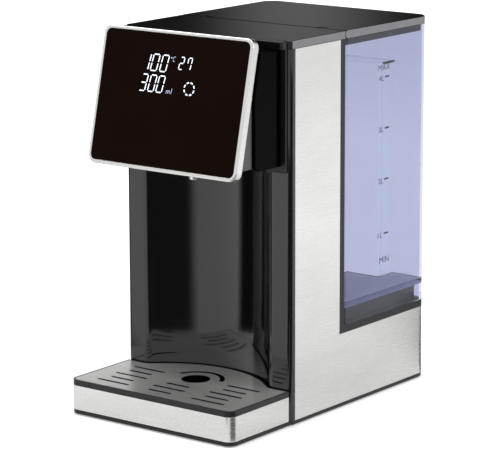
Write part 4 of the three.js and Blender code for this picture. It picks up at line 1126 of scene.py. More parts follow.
@dataclass(frozen=True)
class Panel:
    """Tilted display: frame, glass, lit readings and rear shell, measured along the panel."""

    foot_y: float = -129.4
    foot_z: float = 221.9
    tilt: float = math.radians(13)
    half: float = 80.3
    height: float = 119.7
    depth: float = 7.5
    corner: float = 8.5
    border: float = 3.0
    front_round: float = 1.3
    pocket_depth: float = 2.5
    glass_front: float = 0.2
    glass_depth: float = 2.0
    lit_proud: float = 0.04
    lit_sunk: float = 0.05
    ledge: float = 5.0
    back_front: float = 5.0
    back_rear: float = 8.1
    wedge_half: float = 79.5
    wedge_low: float = 229.5
    wedge_rear_y: float = -105.1
    wedge_wall: float = 2.0
    wedge_round: float = 0.8
    ring_at: Point = (19.4, 72.25)
    ring_outer: float = 5.9
    ring_inner: float = 4.7
    ring_parts: int = 8

    def plane_behind(self, z: float, distance: float) -> float:
        """Returns the Y, at a height, of the plane that lies a distance behind the panel."""
        rise = (z - self.foot_z) * math.sin(self.tilt)
        return self.foot_y + (self.depth + distance + rise) / math.cos(self.tilt)

    def height_behind(self, y: float, distance: float) -> float:
        """Returns the height, at a Y, of the plane that lies a distance behind the panel."""
        reach = (y - self.foot_y) * math.cos(self.tilt) - self.depth - distance
        return self.foot_z + reach / math.sin(self.tilt)

    def outline(self, inset: float) -> list[Point]:
        """Outline of the panel drawn in by an inset, upright and standing on its foot line.

        Args:
            inset: How far it is drawn in.

        Returns:
            The points, as X and Z.
        """
        return rounded_box(
            -self.half + inset, self.foot_z + inset, self.half - inset, self.foot_z + self.height - inset,
            self.corner - inset)

    def slab(self, name: str, loops: Sequence[Sequence[Point]], front: float, back: float) -> bpy.types.Object:
        """Returns a plate between two depths of the upright panel."""
        return prism(name, loops, Axis.Y, self.foot_y + front, self.foot_y + back)

    def lean(self, piece: bpy.types.Object) -> bpy.types.Object:
        """Tilts a piece back about the panel's foot line.

        Args:
            piece: The piece, built upright.

        Returns:
            The piece.
        """
        activate(piece)
        bpy.ops.transform.rotate(
            value=self.tilt, orient_axis="X", orient_type="GLOBAL",
            center_override=(0, self.foot_y * MM, self.foot_z * MM))
        return settle(piece)

    def build(self) -> None:
        """Builds and dresses the display."""
        self.frame()
        self.glass()
        self.rear_shell()
        self.readings()

    def frame(self) -> None:
        """Shapes the bright frame, its front edge rounded, with the pocket that the glass lies in."""
        frame_piece = self.slab("panel_frame", [self.outline(0)], 0, self.depth)
        front = self.foot_y + NEAR
        round_edges(frame_piece, self.front_round, lambda a, b: a.y < front and b.y < front, 5)
        pocket = self.slab("pocket", [self.outline(self.border)], -OVER, self.pocket_depth)
        opening = self.slab("opening", [self.outline(self.ledge)], -OVER, self.depth + OVER)
        cut(frame_piece, pocket, opening)
        dress(soften(self.lean(frame_piece), Edge.THIN), BRIGHT_FRAME, "machine", "display_frame")

    def glass(self) -> None:
        """Lays the glass in the frame, its rim ground to a fine chamfer."""
        glass = self.slab(
            "panel_glass", [self.outline(self.border + PLAY)], self.glass_front,
            self.glass_front + self.glass_depth)
        dress(soften(self.lean(glass), Edge.MILD), DARK_GLASS, "machine", "display_glass")

    def rear_shell(self) -> None:
        """Moulds the shell behind the panel: a plate in the frame and a wedge back to the head."""
        def side(inset: float, rear: float) -> list[Point]:
            """Outline of the wedge from the side, drawn in by an inset and ending at a rear line.

            Args:
                inset: How far it is drawn in.
                rear: Y of its rear line.

            Returns:
                The points, as Y and Z.
            """
            low = self.wedge_low + inset
            return [
                (self.plane_behind(low, PLAY + inset), low), (rear, low),
                (rear, self.height_behind(rear, PLAY + inset))]

        plate = self.lean(
            self.slab("panel_back", [self.outline(self.ledge + PLAY)], self.back_front, self.back_rear))
        wedge = prism("wedge", [side(0, self.wedge_rear_y)], Axis.X, -self.wedge_half, self.wedge_half)
        edge = self.wedge_half - NEAR
        round_edges(
            wedge, self.wedge_round, lambda a, b: abs(a.x) > edge and abs(b.x) > edge and a.x * b.x > 0, 3)
        inner = self.wedge_half - self.wedge_wall
        hollow = prism("hollow", [side(self.wedge_wall, self.wedge_rear_y + OVER)], Axis.X, -inner, inner)
        shell = cut(join(plate, wedge), hollow)
        dress(soften(shell, Edge.THIN), SHELL_GREY, "machine", "display_rear_shell")

    def lit(self, name: str, bars: Sequence[Sequence[Point]], finish: Finish) -> None:
        """Lays lit bars on the glass.

        Args:
            name: Name of the piece.
            bars: Outline of each bar, as X and distance up the panel.
            finish: How it is lit.
        """
        front, back = self.glass_front - self.lit_proud, self.glass_front + self.lit_sunk
        pieces = []
        for index, bar in enumerate(bars):
            raised = [(x, up + self.foot_z) for x, up in bar]
            pieces.append(self.slab(f"{name}_{index}", [raised], front, back))
        activate(*pieces)
        bpy.ops.object.join()
        whole = named(name)
        dress(soften(self.lean(whole), Edge.NONE), finish, "machine")

    def readings(self) -> None:
        """Lights the readings: degrees, seconds, millilitres and the ring."""
        for name, figures in (
            ("degrees", (("1", -33.4, 83.75, 6.2, 15), ("0", -25.4, 83.75, 7.6, 15), ("0", -15.4, 83.75, 7.6, 15))),
            ("volume", (("3", -34.6, 66, 7.0, 15), ("0", -25.4, 66, 7.2, 15), ("0", -16.4, 66, 7.2, 15))),
            ("seconds", (("2", 4.6, 87.25, 5.0, 11.25, 0.9), ("7", 13.0, 87.25, 4.8, 11.25, 0.9))),
        ):
            self.lit(f"reading_{name}", [bar for figure in figures for bar in Digit(*figure).bars()], LIT_WHITE)
        self.lit("reading_units", [
            *Digit("c", -1.9, 93.4, 2.8, 4.4, 0.55).bars(), circle((-3.1, 96.6), 0.7), *self.letters()], LIT_SOFT)
        turn = 2 * math.pi / self.ring_parts
        from_share, to_share = 0.2, 0.8
        self.lit("reading_ring", [[
            *arc(self.ring_at, self.ring_outer, turn * (i + from_share), turn * (i + to_share)),
            *reversed(arc(self.ring_at, self.ring_inner, turn * (i + from_share), turn * (i + to_share)))]
            for i in range(self.ring_parts)], LIT_WHITE)

    def letters(self) -> list[list[Point]]:
        """Draws the bars of the small ml beside the volume.

        Returns:
            The points of each bar.
        """
        low, high, tall, stroke = 66.3, 69.0, 70.9, 0.55
        bars = []
        for x, top in ((-4.9, high), (-3.2, high), (-1.5, high), (0.3, tall)):
            lean = (top - low) * Digit.slant
            bars.append([(x, low), (x + stroke, low), (x + stroke + lean, top), (x + lean, top)])
        bars.append([(-4.4, high - 0.5), (-0.55, high - 0.5), (-0.5, high), (-4.3, high)])
        return bars


PANEL = Panel()


@dataclass(frozen=True)
class Digit:
    """A seven-segment figure that leans to the right."""

    figure: str
    left: float
    low: float
    width: float
    height: float
    bar: float = 1.0
    slant: float = 0.17
    tip_share: float = 0.6

    def bars(self) -> list[list[Point]]:
        """Draws the outline of each lit bar.

        Returns:
            The points of each bar.
        """
        lit = {
            "0": "abcdef", "1": "bc", "2": "abged", "3": "abgcd", "7": "fabc", "c": "afed"}[self.figure]
        right = self.left + self.width
        base, top = self.low, self.low + self.height
        middle = (base + top) / 2
        ends = {
            "a": ((self.left, top), (right, top)), "g": ((self.left, middle), (right, middle)),
            "d": ((self.left, base), (right, base)), "f": ((self.left, middle), (self.left, top)),
            "b": ((right, middle), (right, top)), "e": ((self.left, base), (self.left, middle)),
            "c": ((right, base), (right, middle))}
        return [self.between(*ends[name]) for name in lit]

    def between(self, start: Point, end: Point) -> list[Point]:
        """Outline of one bar with pointed ends.

        Args:
            start: Corner of the figure that it starts from.
            end: Corner that it ends at.

        Returns:
            The points, leant over.
        """
        half = self.bar / 2

        def draw_in(point: Point) -> Vector:
            """Returns the place of a figure's corner on the middle line of its bars."""
            x = min(max(point[0], self.left + half), self.left + self.width - half)
            return Vector((x, min(max(point[1], self.low + half), self.low + self.height - half)))

        first, last = draw_in(start), draw_in(end)
        along = (last - first).normalized()
        across = Vector((-along.y, along.x)) * half
        first, last = first + along * half, last - along * half
        tip = along * half * self.tip_share
        outline = [first, first + tip - across, last - tip - across, last, last - tip + across, first + tip + across]
        return [(point.x + (point.y - self.low) * self.slant, point.y) for point in outline]


@dataclass(frozen=True)
class Tank:
    """Clear water tank with its printed marks, and the lid."""

    front_y: float = 13.3
    low: float = 73.5
    floor_low: float = 88.3
    floor_high: float = 92.5
    floor_round: float = 1.5
    wall: float = 2.5
    outer_corner: float = 3.0
    inner_corner: float = 2.5
    grip_half: float = 49.5
    grip_depth: float = 23.0
    grip_corner: float = 3.0
    grip_top: float = 286.9
    skirt_grip_top: float = 200.0
    valve_hole: float = 9.0
    valve_low: float = 87.0
    valve_high: float = 95.0
    hinge_x: float = 62.0
    pivot: Point = (17.0, 329.6)
    pin: float = 1.5
    knuckle_half: float = 5.0
    knuckle_low: float = 319.4
    knuckle_round: float = 3.1
    trim_rear_y: float = 13.9
    trim_low: float = 326.5
    marks: tuple[tuple[str, float], ...] = (("4L", 286.0), ("3L", 240.4), ("2L", 194.6), ("1L", 145.6))
    tick_near: float = 73.4
    tick_far: float = 80.2
    tick_reach: float = 0.75
    tick_corner: float = 0.3
    label_near: float = 64.2
    label_far: float = 71.8
    label_below: float = 3.4
    label_above: float = 1.4
    ink_sunk: float = 0.02
    ink_proud: float = 0.03
    lid_front_y: float = 13.6
    lid_low: float = 326.2
    lid_high: float = 333.0
    lid_barrel: float = 3.39
    lid_round: float = 1.1
    lid_wall: float = 2.2
    lid_roof: float = 330.8
    lid_behind_pivot: float = 3.4
    lid_skirt: tuple[float, float] = (4.4, 5.9)
    lid_skirt_corner: float = 1.0
    lid_skirt_deep: float = 6.5
    lid_skirt_top: float = 331.0
    notch_half: float = 16.0
    notch_front_y: float = 142.5
    notch_high: float = 3.0
    gap_half: float = 5.3
    gap_deep: float = 8.0
    bore_half: float = 14.3

    def build(self) -> None:
        """Builds and dresses the tank and its lid."""
        self.vessel()
        self.print_marks()
        self.lid()

    def outline(self, inset: float, front_corner: float) -> list[Point]:
        """Returns the tank's outline, drawn in by an inset."""
        return PLAN.rear_block(inset, self.front_y + inset, front_corner)

    def grip(self, grow: float, top: float) -> bpy.types.Object:
        """Solid that fills the grip recess.

        Args:
            grow: How far it is grown into the tank.
            top: Its top.

        Returns:
            The solid.
        """
        half, behind, below = self.grip_half + grow, 20, 5
        front = PLAN.rear_y - self.grip_depth - grow
        line = rounded_box(-half, front, half, PLAN.rear_y + behind, self.grip_corner + grow)
        return prism("grip", [line], Axis.Z, self.low - below, top)

    def vessel(self) -> None:
        """Moulds the tank: walls, raised floor, skirt, grip recess, valve hole and hinge knuckles."""
        over_top, downwards = 5, -0.9
        vessel = prism("tank", [self.outline(0, self.outer_corner)], Axis.Z, self.low, PLAN.shell_top)
        cut(vessel, self.grip(0, self.grip_top))
        inner = self.outline(self.wall, self.inner_corner)
        water = prism("water", [inner], Axis.Z, self.floor_high, PLAN.shell_top + over_top)
        floor = self.floor_high + NEAR
        round_edges(water, self.floor_round, lambda a, b: a.z < floor and b.z < floor, 4)
        cut(water, self.grip(self.wall, self.grip_top + self.wall))
        skirt = prism("skirt", [inner], Axis.Z, self.low - OVER, self.floor_low)
        cut(skirt, self.grip(self.wall, self.skirt_grip_top))
        cut(vessel, water, skirt, rod("hole", Axis.Z, PLAN.port, self.valve_hole, self.valve_low, self.valve_high))
        for x in (-self.hinge_x, self.hinge_x):
            left, right = x - self.knuckle_half, x + self.knuckle_half
            knuckle = box("knuckle", (left, self.front_y, self.knuckle_low), (right, *self.pivot))
            trim = box(
                "trim", (left - OVER, self.front_y - OVER, self.trim_low),
                (right + OVER, self.trim_rear_y, self.lid_high))
            cut(knuckle, trim)
            join(knuckle, rod("eye", Axis.X, self.pivot, self.knuckle_round, left, right))
            cut(knuckle, rod("pin", Axis.X, self.pivot, self.pin, left - OVER, right + OVER))
            join(vessel, knuckle)
        dress(soften(vessel, Edge.SOFT), TANK_BLUE, "tank", "water_tank")
        # The floor's underside gets the pale frosted finish: partly frost, partly painted light.
        dress_faces(
            vessel, TANK_FROST_GLOW, lambda at, normal: normal.z < downwards and abs(at.z - self.floor_low) < NEAR)

    def print_marks(self) -> None:
        """Prints the litre marks on the tank's right side."""
        inside, outside = PLAN.half - self.ink_sunk, PLAN.half + self.ink_proud
        for label, z in self.marks:
            line = rounded_box(
                self.tick_near, z - self.tick_reach, self.tick_far, z + self.tick_reach, self.tick_corner)
            tick = prism(f"tick_{label}", [line], Axis.X, inside, outside)
            dress(soften(tick, Edge.NONE), MARK_INK, "tank")
            self.text(label, self.label_near, self.label_far, z - self.label_below, z + self.label_above)
        self.text("MAX", 63.4, 80.8, 292, 297)
        self.text("MIN", 66.8, 81.4, 119, 124.6)

    def text(self, label: str, near: float, far: float, low: float, high: float) -> None:
        """Prints a word on the tank's right side.

        Args:
            label: The word.
            near: Y of its left end.
            far: Y of its right end.
            low: Its foot.
            high: Its top.
        """
        deselect()
        bpy.ops.object.text_add(location=(0, 0, 0))
        bpy.context.object.data.body = label
        bpy.context.object.data.extrude = 0.02  # any thickness, because it is scaled to the ink's below
        bpy.ops.object.convert(target="MESH")
        piece = named(f"mark_{label}")
        corners = [Vector(c) for c in piece.bound_box]
        least = Vector([min(c[i] for c in corners) for i in range(3)])
        size = Vector([max(c[i] for c in corners) for i in range(3)]) - least
        ink = self.ink_sunk + self.ink_proud
        shift = Matrix.Translation(-least)
        scale = Matrix.Diagonal(((far - near) * MM / size.x, (high - low) * MM / size.y, ink * MM / size.z, 1))
        turn = Matrix(((0, 0, 1, 0), (1, 0, 0, 0), (0, 1, 0, 0), (0, 0, 0, 1)))
        place = Matrix.Translation(Vector((PLAN.half - self.ink_sunk, near, low)) * MM)
        piece.matrix_world = place @ turn @ scale @ shift
        settle(piece)
        with editing(piece):
            bpy.ops.mesh.remove_doubles(threshold=MERGE / 2 * MM)
            bpy.ops.mesh.normals_make_consistent(inside=False)
        dress(piece, MARK_INK, "tank")

    def lid(self) -> None:
        """Moulds the lid: plate and band, half-round hinge barrel, skirt, finger notch and knuckle gaps."""
        front, high = self.lid_front_y + NEAR, self.lid_high - NEAR
        behind, back = self.pivot[0] + self.lid_behind_pivot, self.lid_front_y + self.lid_barrel + NEAR
        low, roof, whole_width = self.lid_low, self.lid_roof, 100
        lid = prism("lid", [PLAN.rear_block(0, self.lid_front_y, 0)], Axis.Z, low, self.lid_high)
        round_edges(
            lid, self.lid_barrel, lambda a, b: a.y < front and b.y < front and abs(a.x - b.x) > whole_width, 10)
        round_edges(lid, self.lid_round, lambda a, b: a.z > high and b.z > high and max(a.y, b.y) > back, 4)
        hollow = prism("hollow", [PLAN.rear_block(self.lid_wall, behind, 0)], Axis.Z, low - OVER, roof)
        skirt = prism(
            "skirt", [self.outline(inset, self.lid_skirt_corner) for inset in self.lid_skirt], Axis.Z,
            low - self.lid_skirt_deep, self.lid_skirt_top)
        notch = box(
            "notch", (-self.notch_half, self.notch_front_y, low - OVER),
            (self.notch_half, PLAN.rear_y + OVER, low + self.notch_high))
        hinges = (-self.hinge_x, self.hinge_x)
        gaps = [
            box("gap", (x - self.gap_half, self.lid_front_y - OVER, low - self.gap_deep),
                (x + self.gap_half, behind, self.lid_high + OVER))
            for x in hinges]
        pins = [rod("bore", Axis.X, self.pivot, self.pin, x - self.bore_half, x + self.bore_half) for x in hinges]
        cut(join(cut(lid, hollow), skirt), notch, *gaps, *pins)
        dress(soften(lid, Edge.CRISP), COVER_GREY, "lid", "tank_lid")
        # The two flat sides get the paler band finish: partly its own paint, partly a painted reflection.
        dress_faces(lid, COVER_BAND_SHEEN, PLAN.on_side)


@dataclass(frozen=True)
class DripTray:
    """Pull-out tray: black basin and rim, steel band and the slotted steel plate."""

    half: float = 88.8
    front_y: float = -147.0
    corner: float = 8.0
    clearance: float = 1.0
    low: float = 4.3
    rim_low: float = 26.7
    rim_high: float = 31.5
    rim_width: float = 1.6
    wall_inset: float = 1.1
    hollow_inset: float = 3.3
    floor: float = 2.2
    band: float = 0.8
    band_lift: float = 0.4
    plate_sheet: float = 0.8
    slot_width: float = 3.2
    slot_flat: float = 0.15
    slot_rows: int = 5
    slot_pitch: float = 12.4
    slot_group_x: float = 52.0
    slot_long: float = 35.0
    slot_short: float = 25.0
    arc_outer: float = 25.3
    arc_inner: float = 21.0
    arc_from: float = 16.0
    drain: float = 12.7

    def build(self) -> None:
        """Builds and dresses the tray."""
        self.basin()
        self.steel_band()
        self.plate()

    def outline(self, inset: float) -> list[Point]:
        """Outline of the tray, which follows the column's recess, drawn in by an inset.

        Args:
            inset: How far it is drawn in.

        Returns:
            The points.
        """
        half = self.half - inset
        back = PLAN.face_y - self.clearance - inset
        corner = max(self.corner - inset, 0)
        front = rounded([
            (-half, back, 0), (-half, self.front_y + inset, corner), (half, self.front_y + inset, corner),
            (half, back, 0)])
        return [*front, *reversed(PLAN.recess(-self.clearance - inset))]

    def basin(self) -> None:
        """Moulds the basin with its rim and the seat for the plate."""
        above = self.rim_high + OVER
        tray = join(
            prism("tray", [self.outline(self.wall_inset)], Axis.Z, self.low, self.rim_low + OVER),
            prism("rim", [self.outline(0)], Axis.Z, self.rim_low, self.rim_high))
        seat = prism(
            "seat", [self.outline(self.rim_width)], Axis.Z, self.rim_high - self.plate_sheet - PLAY, above)
        hollow = prism("hollow", [self.outline(self.hollow_inset)], Axis.Z, self.low + self.floor, above)
        dress(soften(cut(tray, seat, hollow), Edge.SOFT, 3), SATIN_BLACK, "tray", "drip_tray")

    def steel_band(self) -> None:
        """Bends the steel band round the front and the sides."""
        half, front, back = self.half, self.front_y, PLAN.face_y - self.clearance
        inner, inner_front, corner = half - self.band, front + self.band, self.corner - self.band
        line = rounded([
            (-half, back, 0), (-half, front, self.corner), (half, front, self.corner), (half, back, 0),
            (inner, back, 0), (inner, inner_front, corner), (-inner, inner_front, corner), (-inner, back, 0)])
        band = prism("band", [line], Axis.Z, self.low + self.band_lift, self.rim_low - PLAY)
        dress(soften(band, Edge.THIN), BRUSHED_STEEL, "tray", "tray_band")

    def slot(self, x: float, y: float, length: float) -> list[Point]:
        """Outline of one slot.

        Args:
            x: Middle of the slot from left to right.
            y: Middle of the slot from front to rear.
            length: Its length, ends included.

        Returns:
            The points.
        """
        half = length / 2
        reach = self.slot_width / 2
        return rounded_box(x - half, y - reach, x + half, y + reach, reach - self.slot_flat)

    def plate(self) -> None:
        """Punches the plate: five rows of slots, an arc slot and the drain hole, with rolled edges."""
        holes = []
        lengths = (self.slot_long, self.slot_short)
        for row in range(self.slot_rows):
            y = PLAN.spout_y - row * self.slot_pitch
            side, middle = lengths if row % 2 == 0 else lengths[::-1]
            holes += [self.slot(-self.slot_group_x, y, side), self.slot(self.slot_group_x, y, side)]
            if row > 1:  # the drain hole and the arc slot take the middle of the first two rows
                holes.append(self.slot(0, y, middle))
        centre = (0, PLAN.spout_y)
        start, end = math.radians(self.arc_from), math.radians(180 - self.arc_from)
        holes.append([*arc(centre, self.arc_outer, start, end), *arc(centre, self.arc_inner, end, start)])
        holes.append(circle(centre, self.drain))
        plate = prism(
            "plate", [self.outline(self.rim_width + PLAY), *holes], Axis.Z,
            self.rim_high - self.plate_sheet, self.rim_high)
        dress(soften(plate, Edge.FINE), PLATE_STEEL, "plate", "tray_plate")
        # The slot walls get the near-black finish: painted shade for the depth below the plate.
        dress_faces(plate, SLOT_SHADE, self.in_slot)

    def in_slot(self, at: Vector, normal: Vector) -> bool:
        """Tells whether a face of the plate stands in a slot, the arc slot or the drain hole.

        Args:
            at: The face's middle.
            normal: Its normal.

        Returns:
            Whether it does.
        """
        upright, margin_x, margin_y, slots_rear_y = 0.5, 2, 4, -72
        edge = self.half - self.rim_width - margin_x
        in_rows = abs(at.x) < edge and self.front_y + margin_y < at.y < slots_rear_y
        in_middle = math.hypot(at.x, at.y - PLAN.spout_y) < self.arc_outer + PLAY
        return abs(normal.z) < upright and (in_rows or in_middle)


@dataclass(frozen=True)
class Inside:
    """CAD nodes that keep their own shape and get a finish."""

    finishes: tuple[tuple[Finish, tuple[str, ...]], ...] = (
        (SATIN_BLACK, ("base_pan", "pump_housing", "flow_meter_cap", "thermal_cutout")),
        (ZINC_STEEL, (
            "base_screw_front_left", "base_screw_front_right", "base_screw_rear_left", "base_screw_rear_right",
            "lid_pin_left", "lid_pin_right", "valve_spring", "pump_motor", "heater_tube", "heater_clamp")),
        (BOARD_GREEN, ("display_board", "power_board")),
        (WHITE_PLASTIC, (
            "outlet_chamber", "valve_body", "valve_plunger", "outlet_strainer", "pump_impeller", "flow_meter_body",
            "heater_cap_lower", "heater_cap_upper", "board_spacer_lower_left", "board_spacer_upper_left",
            "board_spacer_lower_right", "board_spacer_upper_right")),
        (FOOT_RUBBER, ("valve_seal", "pump_mount")),
        (GLOSS_BLACK, ("flow_meter_rotor",)),
        (SILICONE, ("hose_tank_to_meter", "hose_meter_to_pump", "hose_pump_to_heater", "hose_heater_to_outlet")))

    def build(self) -> None:
        """Puts the finishes on the nodes."""
        for finish, names in self.finishes:
            for name in names:
                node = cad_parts[name]
                node.data.materials.clear()
                node.data.materials.append(finish.material())
                LOG.info("%s keeps its CAD shape in %s", name, finish.name)


@dataclass(frozen=True)
class Studio:
    """Camera, pale floor, white surroundings, soft lights and the black cards that gloss shows."""

    camera_at: tuple[float, float, float] = (1357.88, -1784.59, 635.41)
    azimuth: float = 37.33
    elevation: float = 12.11
    roll: float = -0.15
    lens: float = 186.67
    sensor: float = 36.0
    sight: float = 50000.0
    ambient: float = 0.55
    floor_radius: float = 9000.0
    shadow_near: float = 150.0
    shadow_far: float = 1300.0
    column_at: Point = (-35.0, -88.0)
    corner_at: Point = (85.0, -143.0)
    rear_corner_at: Point = (76.0, 131.0)
    gloss_lift: float = 0.45

    def build(self) -> None:
        """Builds the studio."""
        self.camera()
        self.world()
        self.floor()
        self.light("softbox_top", (0, 0, 1500), (0, 0, 200), 1100, 8)
        self.light("softbox_left", (-1000, -700, 1500), (0, 0, 150), 900, 9)
        self.light("softbox_right", (1500, 300, 900), (0, 0, 150), 1000, 8)
        self.flag("flag_right", self.column_at, (190, 1300), (47, 45), (-4, 15), 0.08)
        self.flag("flag_left", self.column_at, (190, 1300), (-86, -84), (-51, -66), 0.03)
        self.flag("flag_side", self.corner_at, (20, 2000), (40, 50), (120, 105), 0.12)
        self.flag("flag_rear", self.rear_corner_at, (15, 340), (137, 153), (181, 180.5), 0.06)
        self.card("card_rear", (-1400, -300), (400, 1400), 340, 1900, 0.0, (300, 300))
        self.card("glow_rear", (-406, 406), (-196, 566), 345, 900, 0.32, (115, 130))

    def camera(self) -> None:
        """Places the camera that was fitted to the photograph's edges."""
        deselect()
        bpy.ops.object.camera_add()
        camera = named("camera")
        turn = (
            Matrix.Rotation(math.radians(self.azimuth), 4, "Z")
            @ Matrix.Rotation(math.radians(90 - self.elevation), 4, "X")
            @ Matrix.Rotation(math.radians(self.roll), 4, "Z"))
        camera.matrix_world = Matrix.Translation(Vector(self.camera_at) * MM) @ turn
        camera.data.sensor_width = self.sensor
        camera.data.lens = self.lens
        camera.data.clip_end = self.sight * MM
        bpy.context.scene.camera = camera

    def seen(self, tree: bpy.types.NodeTree) -> bpy.types.NodeSocket:
        """Tells what the eye sees, directly, in gloss or through the tank, from what only lights.

        Args:
            tree: The node tree.

        Returns:
            The socket that gives 1 or 0.
        """
        rays = add_node(tree, "ShaderNodeLightPath")
        direct = add_node(
            tree, "ShaderNodeMath",
            {0: rays.outputs["Is Camera Ray"], 1: rays.outputs["Is Glossy Ray"]}, operation="MAXIMUM")
        return add_node(
            tree, "ShaderNodeMath",
            {0: direct.outputs[0], 1: rays.outputs["Is Transmission Ray"]}, operation="MAXIMUM").outputs[0]

    def world(self) -> None:
        """Makes the surroundings white to the eye, in gloss and through the tank, and softer as light."""
        world = bpy.data.worlds.new("studio")
        world.use_nodes = True
        bpy.context.scene.world = world
        tree = world.node_tree
        background = tree.nodes["Background"]
        strength = add_node(
            tree, "ShaderNodeMapRange", {"Value": self.seen(tree), "To Min": self.ambient, "To Max": 1.0})
        background.inputs["Color"].default_value = colour("ffffff")
        tree.links.new(strength.outputs["Result"], background.inputs["Strength"])
        view = bpy.context.scene.view_settings
        view.view_transform = "Standard"

    def floor(self) -> None:
        """Lays the pale floor: near the machine it keeps the shadow, further off it fades into the background."""
        deselect()
        bpy.ops.mesh.primitive_circle_add(
            vertices=ROUND_SIDES, radius=self.floor_radius * MM, fill_type="NGON", location=(0, 0, 0))
        floor = named("floor")
        material = bpy.data.materials.new("floor")
        material.use_nodes = True
        tree = material.node_tree
        shader = tree.nodes["Principled BSDF"]
        grain = Grain((400, 400, 400)).build(tree)
        tone = add_node(
            tree, "ShaderNodeMix", {"Factor": grain, 6: colour("f0f0f0"), 7: colour("f4f4f4")}, data_type="RGBA")
        tree.links.new(tone.outputs[2], shader.inputs["Base Color"])
        shader.inputs["Roughness"].default_value = 0.9
        shader.inputs["Specular IOR Level"].default_value = 0.0
        place = add_node(tree, "ShaderNodeTexCoord")
        distance = add_node(
            tree, "ShaderNodeVectorMath", {0: place.outputs["Object"]}, operation="LENGTH")
        fade = add_node(
            tree, "ShaderNodeMapRange",
            {"Value": distance.outputs["Value"], "From Min": self.shadow_near * MM,
             "From Max": self.shadow_far * MM, "To Min": 0.3, "To Max": 1.0})
        rays = add_node(tree, "ShaderNodeLightPath")
        part = add_node(tree, "ShaderNodeMath", {0: self.seen(tree), 1: self.gloss_lift}, operation="MULTIPLY")
        whole = add_node(
            tree, "ShaderNodeMath", {0: rays.outputs["Is Camera Ray"], 1: part.outputs[0]}, operation="MAXIMUM")
        lift = add_node(
            tree, "ShaderNodeMath", {0: whole.outputs[0], 1: fade.outputs["Result"]}, operation="MULTIPLY")
        shader.inputs["Emission Color"].default_value = colour("ffffff")
        tree.links.new(lift.outputs[0], shader.inputs["Emission Strength"])
        floor.data.materials.append(material)

    def light(self, name: str, at: Sequence[float], to: Sequence[float], size: float, power: float) -> None:
        """Hangs a square softbox.

        Args:
            name: Its name.
            at: Where it hangs.
            to: What it points at.
            size: Its side.
            power: Its power in watts.
        """
        deselect()
        bpy.ops.object.light_add(type="AREA", location=[value * MM for value in at])
        lamp = named(name)
        lamp.data.shape = "SQUARE"
        lamp.data.size = size * MM
        lamp.data.energy = power
        lamp.rotation_euler = (Vector(to) - Vector(at)).to_track_quat("-Z", "Y").to_euler()

    def card(
        self, name: str, start: Point, end: Point, low: float, high: float, tone: float, soft: Point
    ) -> None:
        """Stands an upright card that only gloss shows.

        Args:
            name: Its name.
            start: Where its first upright edge stands on the floor.
            end: Where its second upright edge stands.
            low: Its lower edge.
            high: Its upper edge.
            tone: How bright it is, 0 for black and 1 for white.
            soft: How far it fades out towards its first and its second edge.
        """
        along = Vector(end) - Vector(start)
        turn = math.atan2(along.y, along.x)
        middle = (Vector(start) + Vector(end)) / 2
        deselect()
        bpy.ops.mesh.primitive_plane_add(
            size=1, rotation=(math.pi / 2, 0, turn),
            location=(middle.x * MM, middle.y * MM, (low + high) / 2 * MM))
        card = named(name)
        card.scale = (along.length * MM, (high - low) * MM, 1)
        tree = self.paint(card)
        place = add_node(tree, "ShaderNodeTexCoord")
        across = add_node(tree, "ShaderNodeSeparateXYZ", {0: place.outputs["Object"]})
        least_fade = 0.001
        ends = [
            (edge, edge + side * max(width / along.length, least_fade))
            for width, edge, side in ((soft[0], -0.5, 1), (soft[1], 0.5, -1))]
        self.fade(tree, across.outputs["X"], ends, tone)

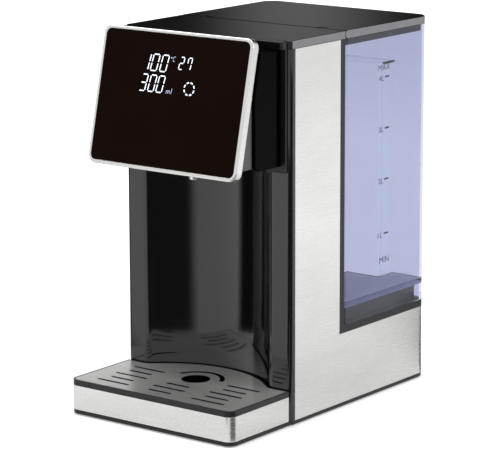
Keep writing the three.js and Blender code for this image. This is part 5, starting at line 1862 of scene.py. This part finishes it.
    def flag(self, name: str, centre: Point, reach: Point, first: Point, second: Point, tone: float) -> None:
        """Lays a flag on the floor, a sector round one place that only gloss shows.

        Args:
            name: Its name.
            centre: The place that the sector is drawn round.
            reach: How near and how far it reaches.
            first: Angles where one edge starts and where it is full, in degrees, from the front to the right.
            second: The same for its other edge.
            tone: How bright it is, 0 for black and 1 for white.
        """
        span, coarse = (math.radians(first[0] - 90), math.radians(second[0] - 90)), 2
        outline = [*arc(centre, reach[1], *span, coarse), *reversed(arc(centre, reach[0], *span, coarse))]
        underside, topside = 0.2, 0.6
        flag = prism(name, [outline], Axis.Z, underside, topside)
        tree = self.paint(flag)
        place = add_node(tree, "ShaderNodeTexCoord")
        offset = add_node(
            tree, "ShaderNodeVectorMath",
            {0: place.outputs["Object"], 1: Axis.Z.place(*centre, 0)}, operation="SUBTRACT")
        parts = add_node(tree, "ShaderNodeSeparateXYZ", {0: offset.outputs["Vector"]})
        back = add_node(tree, "ShaderNodeMath", {0: parts.outputs["Y"], 1: -1.0}, operation="MULTIPLY")
        angle = add_node(tree, "ShaderNodeMath", {0: parts.outputs["X"], 1: back.outputs[0]}, operation="ARCTAN2")
        ends = [tuple(math.radians(value) for value in edge) for edge in (first, second)]
        self.fade(tree, angle.outputs[0], ends, tone)

    def paint(self, card: bpy.types.Object) -> bpy.types.NodeTree:
        """Hides a card from all but gloss and gives it an empty material.

        Args:
            card: The card or flag.

        Returns:
            The material's nodes, without a shader.
        """
        for ray in ("camera", "diffuse", "transmission", "volume_scatter", "shadow"):
            setattr(card, f"visible_{ray}", False)
        material = bpy.data.materials.new(card.name)
        material.use_nodes = True
        tree = material.node_tree
        tree.nodes.remove(tree.nodes["Principled BSDF"])
        card.data.materials.append(material)
        return tree

    def fade(
        self, tree: bpy.types.NodeTree, place: bpy.types.NodeSocket, ends: Sequence[Point], tone: float
    ) -> None:
        """Paints a card's tone and lets it fade into nothing at two ends.

        Args:
            tree: The card's nodes.
            place: The coordinate that the ends are measured in.
            ends: Where each end starts and where it is full.
            tone: How bright the card is.
        """
        steps = []
        for start, full in ends:
            low, high = sorted((start, full))
            step = add_node(
                tree, "ShaderNodeMapRange",
                {"Value": place, "From Min": low, "From Max": high,
                 "To Min": float(start > full), "To Max": float(start < full)},
                interpolation_type="SMOOTHSTEP")
            steps.append(step.outputs["Result"])
        shown = add_node(tree, "ShaderNodeMath", {0: steps[0], 1: steps[1]}, operation="MULTIPLY")
        clear = add_node(tree, "ShaderNodeBsdfTransparent")
        paint = add_node(tree, "ShaderNodeEmission", {"Color": (1.0, 1.0, 1.0, 1.0), "Strength": tone})
        mixed = add_node(
            tree, "ShaderNodeMixShader", {0: shown.outputs[0], 1: clear.outputs[0], 2: paint.outputs[0]})
        tree.links.new(mixed.outputs[0], tree.nodes["Material Output"].inputs["Surface"])


def main() -> None:
    """Builds the studio and every sub-assembly in order."""
    logging.basicConfig(level=logging.INFO, format="%(message)s", stream=sys.stdout)
    for assembly in (Studio(), Housing(), Head(), PANEL, Tank(), DripTray(), Inside()):
        LOG.info("building %s", type(assembly).__name__)
        assembly.build()


if __name__ == "__main__":
    main()
